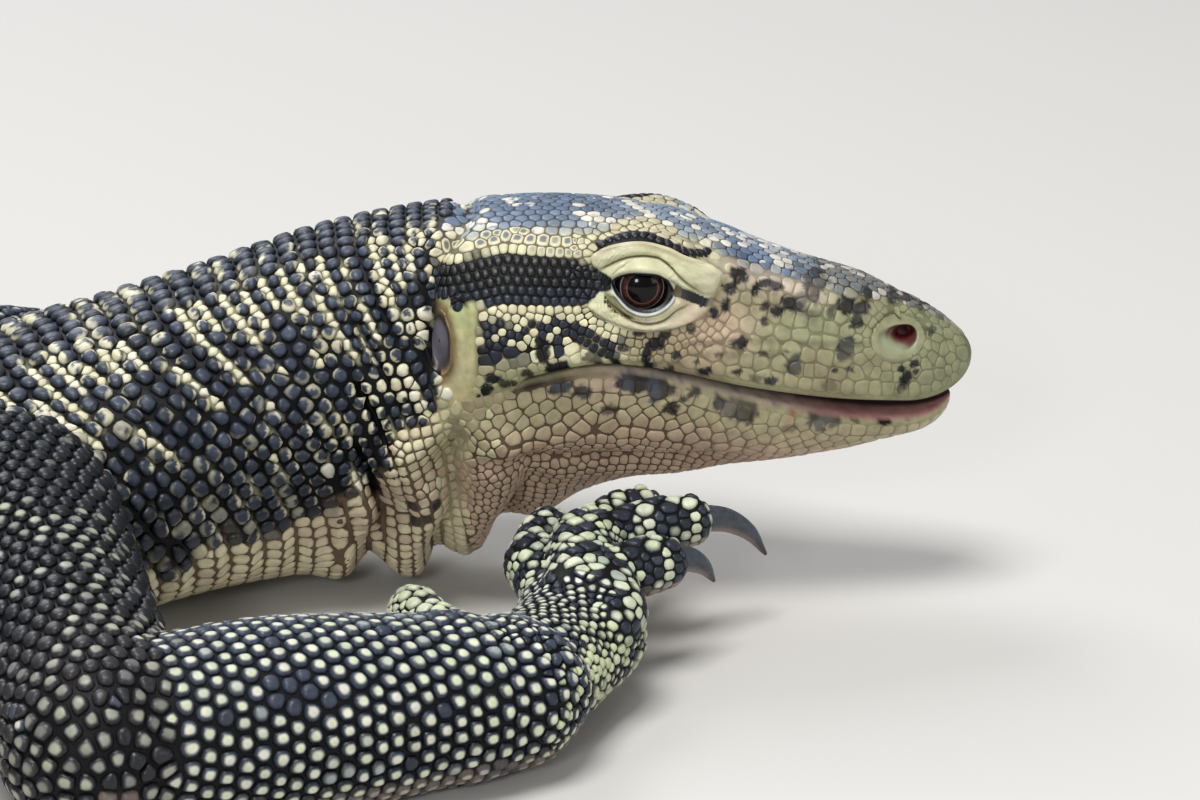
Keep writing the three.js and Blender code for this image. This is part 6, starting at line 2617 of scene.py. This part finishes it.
        # The cornea stands a little proud of the ball in front of the iris.
        radius = self.eye_radius * (1 + 0.02 * (1 - ease(polar, 0.5, 0.85)))
        ahead = math.radians(4.0)
        lift = math.radians(4.4)
        axis = np.array([math.sin(ahead), hand * math.cos(ahead) * math.cos(lift), math.sin(lift)])
        axis = axis / np.linalg.norm(axis)
        e1 = unit(np.cross(np.array([0, 0, 1.0]), axis))
        e2 = np.cross(axis, e1)
        way = (axis * np.cos(polar)[..., None]
               + (e1 * np.cos(around)[..., None] + e2 * np.sin(around)[..., None]) * np.sin(polar)[..., None])
        back, side, high = (np.array(size) for size in EYE)
        centre = self.form.place(back, side * hand, high)
        p = centre + way * radius[..., None]
        count, columns = p.shape[:2]
        quads = ring_quads(count, columns)[:, ::-1]
        j = np.arange(columns)
        k = (j + 1) % columns
        last, front = (count - 1) * columns, count * columns
        tris = np.vstack([np.stack([np.full(columns, front), j, k], axis=-1),
                          np.stack([np.full(columns, front + 1), last + k, last + j], axis=-1)])
        verts = np.vstack([p.reshape(-1, 3), (centre + axis * self.eye_radius * 1.02)[None],
                           (centre - axis * self.eye_radius * 0.4)[None]])
        deg = np.degrees(polar) * np.ones_like(around)
        streak = Mottle(0.16, 5)(np.stack([np.cos(around) * 1.4 + 0 * polar, np.sin(around) * 1.4 + 0 * polar,
                                           0.25 * polar + 0 * around], axis=-1))
        hue = blend(np.ones(p.shape) * srgb(44, 28, 24), srgb(78, 50, 40), 0.4 + 0.6 * streak)
        hue = blend(hue, srgb(22, 14, 14), ease(deg, 33, 38) * 0.7)
        hue = blend(hue, srgb(176, 168, 168), hump(deg, 40.2, 0.75) * 0.85)
        below = np.sin(around) < 0.2
        hue = blend(hue, srgb(134, 88, 66), hump(deg, 27.6, 0.9) * (0.2 + 0.5 * below))
        hue = blend(hue, srgb(3, 3, 4), 1 - ease(deg, 25.2, 26.8))
        hue = blend(hue, srgb(14, 12, 16), ease(deg, 41.5, 43.0))
        hue = np.vstack([hue.reshape(-1, 3), hue[0, :1], hue[-1, :1]])
        return add_mesh("eyeball_" + Hand(hand).name.lower(), self.place.world(verts), quads, tris, hue)

    def nostril(self, hand: int) -> bpy.types.Object:
        """The nostril: a funnel, shallow behind and steep in front, in smooth hide that meets the plates.

        Args:
            hand: -1 for the right side, 1 for the left.

        Returns:
            The piece.
        """
        turn = np.linspace(0, 2 * math.pi, 96, endpoint=False)[None, :]
        share = np.linspace(0.03, 1, 48)[:, None]
        c, d = np.cos(turn), np.sin(turn)
        long, tall = 5.5, 4.3
        x = share * long * c
        z = share * tall * d * (1 - 0.10 * c)
        back, high = NOSTRIL[0] - x, NOSTRIL[1] + z
        edge = self.side_at(NOSTRIL[0] - long * c * 1.02, NOSTRIL[1] + tall * d * 1.02, hand)
        skin = self.levelled(edge, turn, x / long, z / tall, ease(share, 0.55, 1.0))
        rim = np.hypot((x + 0.2 * z) / 4.2, (z - 0.12 * x) / 2.6)
        deep = np.hypot((x - 1.3) / 2.6, (z - 0.45) / 1.8)
        soft = ease(-x - 0.6 * z, -0.5, 3.2)
        sink = 0.8 * (1 - ease(rim, 0.66 - 0.4 * soft, 1.0 + 0.2 * soft)) + 2.8 * (1 - ease(deep, 0.4, 1.1))
        side = skin + 0.26 * (1 - ease(share, 0.72, 0.97)) + 0.10 * hump(rim, 1.1, 0.12) * ease(z, -1, 1)
        side = side - sink - 0.3 * ease(share, 0.94, 1.0)
        p = np.stack([self.form.snout_x - back, side * hand, high], axis=-1)
        n = Mottle(1.2, 9)(p)
        hue = self.about(p) * (1 + 0.08 * n)[..., None]
        hue = blend(hue, srgb(150, 154, 118), (1 - ease(rim, 0.8, 1.3)) * 0.5)
        within = 1 - ease(rim, 0.86 - 0.3 * soft, 0.98 + 0.16 * soft)
        hue = blend(hue, srgb(142, 148, 120), within * 0.85)
        # Painted shadow under the nostril's upper rim: dark red-brown over the funnel's upper half.
        hue = blend(hue, srgb(84, 52, 44), within * ease(z + 0.55 * x + 0.3 * n, -1.9, 0.2))
        # Painted shade deep in the hole, reddish to near black.
        hue = blend(hue, srgb(84, 22, 24), 1 - ease(deep, 0.6, 1.0))
        hue = blend(hue, srgb(30, 9, 11), (1 - ease(deep, 0.2, 0.75)) * 0.8)
        return self.sheet("nostril_" + Hand(hand).name.lower(), back, high, side, hand, hue)

    @staticmethod
    def levelled(edge: Array, turn: Array, x: Array, z: Array, share: Array) -> Array:
        """The skin under a round piece: a tilted plane in its middle that runs out to the skin at its edge.

        The plane is mean(edge) + 2 mean(edge cos) x + 2 mean(edge sin) z.

        Args:
            edge: The skin round the edge.
            turn: Angles round the edge.
            x: Places along, as shares of the piece's half length.
            z: Places up, as shares of its half height.
            share: 0 where the plane holds and 1 at the edge.

        Returns:
            Distances from the middle plane.
        """
        tilt, rise = (float(2 * (edge * wave).mean()) for wave in (np.cos(turn), np.sin(turn)))
        return (edge.mean() + tilt * x + rise * z) * (1 - share) + edge * share

    def eardrum(self, hand: int) -> bpy.types.Object:
        """The eardrum: a long dish set into the skin behind the rim of the ear.

        Args:
            hand: -1 for the right side, 1 for the left.

        Returns:
            The piece.
        """
        turn = np.linspace(0, 2 * math.pi, 80, endpoint=False)[None, :]
        share = np.linspace(0.04, 1, 32)[:, None]
        c, d = np.cos(turn), np.sin(turn)
        long, tall = 2.9, 6.4
        x, z = share * long * c, share * tall * d
        back, high = EAR[0] - x + 0.05 * z, EAR[1] + z
        edge = self.side_at(EAR[0] - 1.06 * long * c + 0.05 * tall * d, EAR[1] + 1.04 * tall * d, hand)
        skin = self.levelled(edge, turn, x / long, z / tall, ease(share, 0.6, 1.0))
        side = skin + 0.25 - 2.2 * (1 - ease(share, 0.58, 0.98)) - 0.45 * ease(share, 0.94, 1.0)
        side = side + 0.45 * (1 - ease(share, 0, 0.5))
        p = np.stack([self.form.snout_x - back, side * hand, high], axis=-1)
        n = Mottle(2.0, 19)(p)
        hue = blend(np.ones(p.shape) * srgb(104, 102, 112), srgb(78, 74, 84), 0.5 + 0.5 * n)
        # Painted shade where the dish sinks at its edge.
        hue = blend(hue, srgb(58, 46, 42), ease(share, 0.5, 0.72) * 0.8)
        hue = blend(hue, srgb(140, 118, 84), ease(share, 0.74, 0.9) * (np.sign(c) > 0) * 0.9)
        # Near-black painted shade on the rear wall, towards the neck's fold.
        hue = blend(hue, INK * 1.4, ease(share, 0.72, 0.86) * (np.sign(c) <= 0))
        return self.sheet("eardrum_" + Hand(hand).name.lower(), back, high, side, hand, hue)


@dataclass
class Claw:
    """One claw: a flattened, hooked horn that leaves the digit's tip and thins to a point."""

    leg: Leg
    index: int
    place: Place
    bend: float = 58.0
    floor: float = 0.9
    thick: tuple[tuple[float, float], ...] = ((2.35, 2.9), (2.0, 2.55), (1.3, 1.75), (0.3, 0.42))

    @property
    def node(self) -> str:
        """The name of the claw's node."""
        return f"claw_{self.leg.pair[2]}_{self.leg.name}_{self.index + 1}"

    def build(self) -> bpy.types.Object:
        """Carries the horn's section along its hooked path; the underside has a groove and the tip is darker.

        Returns:
            The piece.
        """
        digit = self.leg.digits[self.index]
        points, turned = self.leg.digit_path(digit)
        lift = float(np.clip(8 - (digit.tip - 6) * 1.5, -4, 8))
        spot = points[3] + turned * 2.2
        path = [spot]
        for i in range(3):
            pitch = math.radians(lift - self.bend * (i + 0.5) / 3)
            spot = spot + turned * digit.claw / 3 * math.cos(pitch)
            spot[2] = max(path[-1][2] + digit.claw / 3 * math.sin(pitch), self.floor)
            path.append(spot)
        bar = Bar([(*p, *self.thick[i]) for i, p in enumerate(path)])
        t = np.linspace(0, bar.length, 30)
        angle = np.linspace(0, 2 * math.pi, 28, endpoint=False)
        cap = np.linspace(0, 1, 5)[1:] * math.pi / 2
        t = np.concatenate([t, np.full(4, bar.length)])
        past = np.concatenate([np.zeros(30), np.sin(cap)])
        swell = np.concatenate([np.ones(30), np.maximum(np.cos(cap), 0.03)])
        # Sides drawn in below the back, and a groove under the horn.
        groove = 1 - 0.16 * hump(angle, math.pi, 0.42) - 0.05 * np.abs(np.sin(angle)) ** 3
        share = (t / bar.length)[:, None]
        p = bar.surface(t[:, None], angle[None, :], past[:, None], swell[:, None] * groove[None, :])
        noise = Mottle(1.5, 4)(p * np.array([1, 1, 2.5]))
        round_it = np.broadcast_arrays(np.cos(angle)[None, :] * 4, np.sin(angle)[None, :] * 4, share * 3)
        lines = Mottle(0.5, 6)(np.stack(round_it, axis=-1))
        hue = blend(np.ones(p.shape) * srgb(70, 78, 88), srgb(36, 41, 48), 0.45 + 0.3 * noise + 0.25 * lines)
        under = ease(-np.cos(angle), 0.1, 0.75)[None, :] * np.ones_like(share)
        hue = blend(hue, srgb(128, 106, 100), under * 0.85)
        hue = blend(hue, srgb(36, 32, 34), ease(share, 0.72, 1.0) * 0.75)
        hue = blend(hue, srgb(60, 50, 46), (1 - ease(share, 0.02, 0.12)) * 0.7)
        verts, quads, tris = tube_mesh(list(p), inward=True)
        hue = hue.reshape(-1, 3)
        hue = np.vstack([hue, hue[:1], hue[-1:]])
        return add_mesh(self.node + "_horn", self.place.world(verts), quads, tris, hue)


# ---------------------------------------------------------------- materials


@dataclass(frozen=True)
class HideFinish:
    """Hide: the painted colour, varied by two noises, with a fine bump and a soft gloss."""

    name: str
    rough: float = 0.5
    bump: float = 0.25
    grain: float = 2600.0
    vary: float = 0.18
    gloss: float = 0.0
    shine: float = 0.45

    def make(self) -> bpy.types.Material:
        """Builds the material's nodes.

        Returns:
            The material.
        """
        mat = bpy.data.materials.new(self.name)
        mat.use_nodes = True
        tree = mat.node_tree
        nodes, links = tree.nodes, tree.links
        shader = nodes["Principled BSDF"]
        hue = nodes.new("ShaderNodeAttribute")
        hue.attribute_name = "Hue"
        coord = nodes.new("ShaderNodeTexCoord")
        fine = nodes.new("ShaderNodeTexNoise")
        fine.inputs["Scale"].default_value = self.grain
        fine.inputs["Detail"].default_value = 3.0
        broad = nodes.new("ShaderNodeTexNoise")
        broad.inputs["Scale"].default_value = self.grain * 0.16
        broad.inputs["Detail"].default_value = 4.0
        links.new(coord.outputs["Object"], fine.inputs["Vector"])
        links.new(coord.outputs["Object"], broad.inputs["Vector"])
        level = nodes.new("ShaderNodeMapRange")
        level.inputs["From Min"].default_value = 0.3
        level.inputs["From Max"].default_value = 0.7
        level.inputs["To Min"].default_value = 1 - self.vary
        level.inputs["To Max"].default_value = 1 + self.vary
        links.new(broad.outputs["Fac"], level.inputs["Value"])
        scale = nodes.new("ShaderNodeVectorMath")
        scale.operation = "SCALE"
        links.new(hue.outputs["Color"], scale.inputs[0])
        links.new(level.outputs["Result"], scale.inputs["Scale"])
        links.new(scale.outputs["Vector"], shader.inputs["Base Color"])
        rough = nodes.new("ShaderNodeMapRange")
        rough.inputs["From Min"].default_value = 0.3
        rough.inputs["From Max"].default_value = 0.7
        rough.inputs["To Min"].default_value = self.rough - 0.08
        rough.inputs["To Max"].default_value = self.rough + 0.1
        links.new(fine.outputs["Fac"], rough.inputs["Value"])
        links.new(rough.outputs["Result"], shader.inputs["Roughness"])
        bump = nodes.new("ShaderNodeBump")
        bump.inputs["Strength"].default_value = self.bump
        bump.inputs["Distance"].default_value = 0.0002
        links.new(fine.outputs["Fac"], bump.inputs["Height"])
        links.new(bump.outputs["Normal"], shader.inputs["Normal"])
        shader.inputs["Specular IOR Level"].default_value = self.shine
        if self.gloss:
            shader.inputs["Coat Weight"].default_value = self.gloss
            shader.inputs["Coat Roughness"].default_value = 0.06
        return mat


# ---------------------------------------------------------------- the studio


@dataclass
class Studio:
    """The floor, the lights and the camera."""

    place: Place
    aim: tuple[float, float, float] = (0.0, 0.0, 38.3)
    distance: float = 850.0
    elevation: float = 18.0
    lens: float = 128.6

    def floor(self) -> None:
        """A wide pale floor."""
        count = 9
        edge = np.linspace(-4, 4, count)
        x, y = np.meshgrid(edge, edge)
        verts = np.stack([x.ravel(), y.ravel(), 0 * x.ravel()], axis=1)
        i = (np.arange(count - 1)[:, None] * count + np.arange(count - 1)[None, :]).ravel()
        obj = add_mesh("floor", verts, np.stack([i, i + 1, i + count + 1, i + count], axis=1))
        mat = bpy.data.materials.new("pale_floor")
        mat.use_nodes = True
        shader = mat.node_tree.nodes["Principled BSDF"]
        shader.inputs["Base Color"].default_value = (0.60, 0.59, 0.57, 1)
        shader.inputs["Roughness"].default_value = 0.75
        obj.data.materials.append(mat)

    def light(self, name: str, at: tuple[float, float, float], size: float, power: float,
              tint: tuple[float, float, float]) -> None:
        """A square softbox that faces the head.

        Args:
            name: The light's name.
            at: Its place from the head, in metres.
            size: Its side, in metres.
            power: Its power in watts.
            tint: Its colour.
        """
        data = bpy.data.lights.new(name, "AREA")
        data.size = size
        data.energy = power
        data.color = tint
        obj = bpy.data.objects.new(name, data)
        head = Vector(self.place.world(np.array([0.0, 0.0, 40.0])))
        obj.location = head + Vector(at)
        obj.rotation_euler = (head - obj.location).to_track_quat("-Z", "Y").to_euler()
        bpy.context.collection.objects.link(obj)

    def build(self) -> None:
        """Puts up floor, world, lights and camera."""
        self.floor()
        world = bpy.data.worlds.new("studio")
        world.use_nodes = True
        back = world.node_tree.nodes["Background"]
        back.inputs["Color"].default_value = (0.90, 0.93, 0.97, 1)
        back.inputs["Strength"].default_value = 0.30
        bpy.context.scene.world = world
        self.light("key", (-0.25, -0.45, 1.6), 0.7, 25, (1.0, 0.985, 0.96))
        self.light("rim", (-0.7, 1.1, 1.2), 0.9, 14, (0.95, 0.97, 1.0))
        self.light("fill", (1.3, -0.9, 0.6), 0.8, 4, (1.0, 0.97, 0.94))
        self.light("catch", (-0.26, -1.15, 0.46), 0.18, 3.6, (1.0, 1.0, 1.0))
        data = bpy.data.cameras.new("camera")
        data.lens = self.lens
        data.sensor_width = 36
        data.clip_start = 0.01
        camera = bpy.data.objects.new("camera", data)
        aim = Vector(self.place.world(np.array(self.aim)))
        tilt = math.radians(self.elevation)
        camera.location = aim + Vector((0, -math.cos(tilt), math.sin(tilt))) * self.distance * 0.001
        camera.rotation_euler = (aim - camera.location).to_track_quat("-Z", "Y").to_euler()
        bpy.context.collection.objects.link(camera)
        scene = bpy.context.scene
        scene.camera = camera
        scene.view_settings.view_transform = "Standard"


def main() -> None:
    """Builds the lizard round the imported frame."""
    logging.basicConfig(level=logging.INFO, format="%(message)s")
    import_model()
    form = BodyForm()
    relief = Relief(form)
    place = Place.from_eye(form)
    log.info("shift %s", place.shift)
    legs = make_legs(form)
    markings = Markings(form, relief)
    skin = Skin(form, relief, legs, markings, place)
    obj = skin.build()
    obj.data.materials.clear()
    obj.data.materials.append(HideFinish("hide", 0.55, shine=0.2).make())
    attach(obj, "root")
    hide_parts(*FLESH)
    log.info("skin: %d points", len(obj.data.vertices))
    finish = HideFinish("scale", 0.40, 0.2, shine=0.38).make()
    for piece in Coat(skin, form, relief, legs, markings, place).build():
        piece.data.materials.append(finish)
        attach(piece, "root")
        log.info("%s: %d faces", piece.name, len(piece.data.polygons))
    face = Face(skin, form, place, markings)
    wet = HideFinish("eye_gloss", 0.15, 0.0, 3000, 0.05, 0.35, 0.08).make()
    lid = HideFinish("lid_hide", 0.38, 0.12, 2400, 0.08).make()
    horn = HideFinish("claw_horn", 0.3, 0.15, 1500, 0.12).make()
    for hand in Hand:
        side = hand.name.lower()
        for piece, dress, slot, nodes in ((face.lids(hand.value), lid, "head_hide", ()),
                                          (face.nostril(hand.value), lid, "head_hide", ()),
                                          (face.eyeball(hand.value), wet, "eye", (f"eye_{side}",)),
                                          (face.eardrum(hand.value), lid, "eardrum", (f"ear_{side}",))):
            piece.data.materials.append(dress)
            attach(piece, "root")
            if nodes:
                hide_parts(*nodes)
            log.info("%s: %d faces", piece.name, len(piece.data.polygons))
    for leg in legs:
        for i in range(len(leg.digits)):
            claw = Claw(leg, i, place)
            piece = claw.build()
            piece.data.materials.append(horn)
            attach(piece, "root")
            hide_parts(claw.node)
    Studio(place).build()


if __name__ == "__main__":
    main()
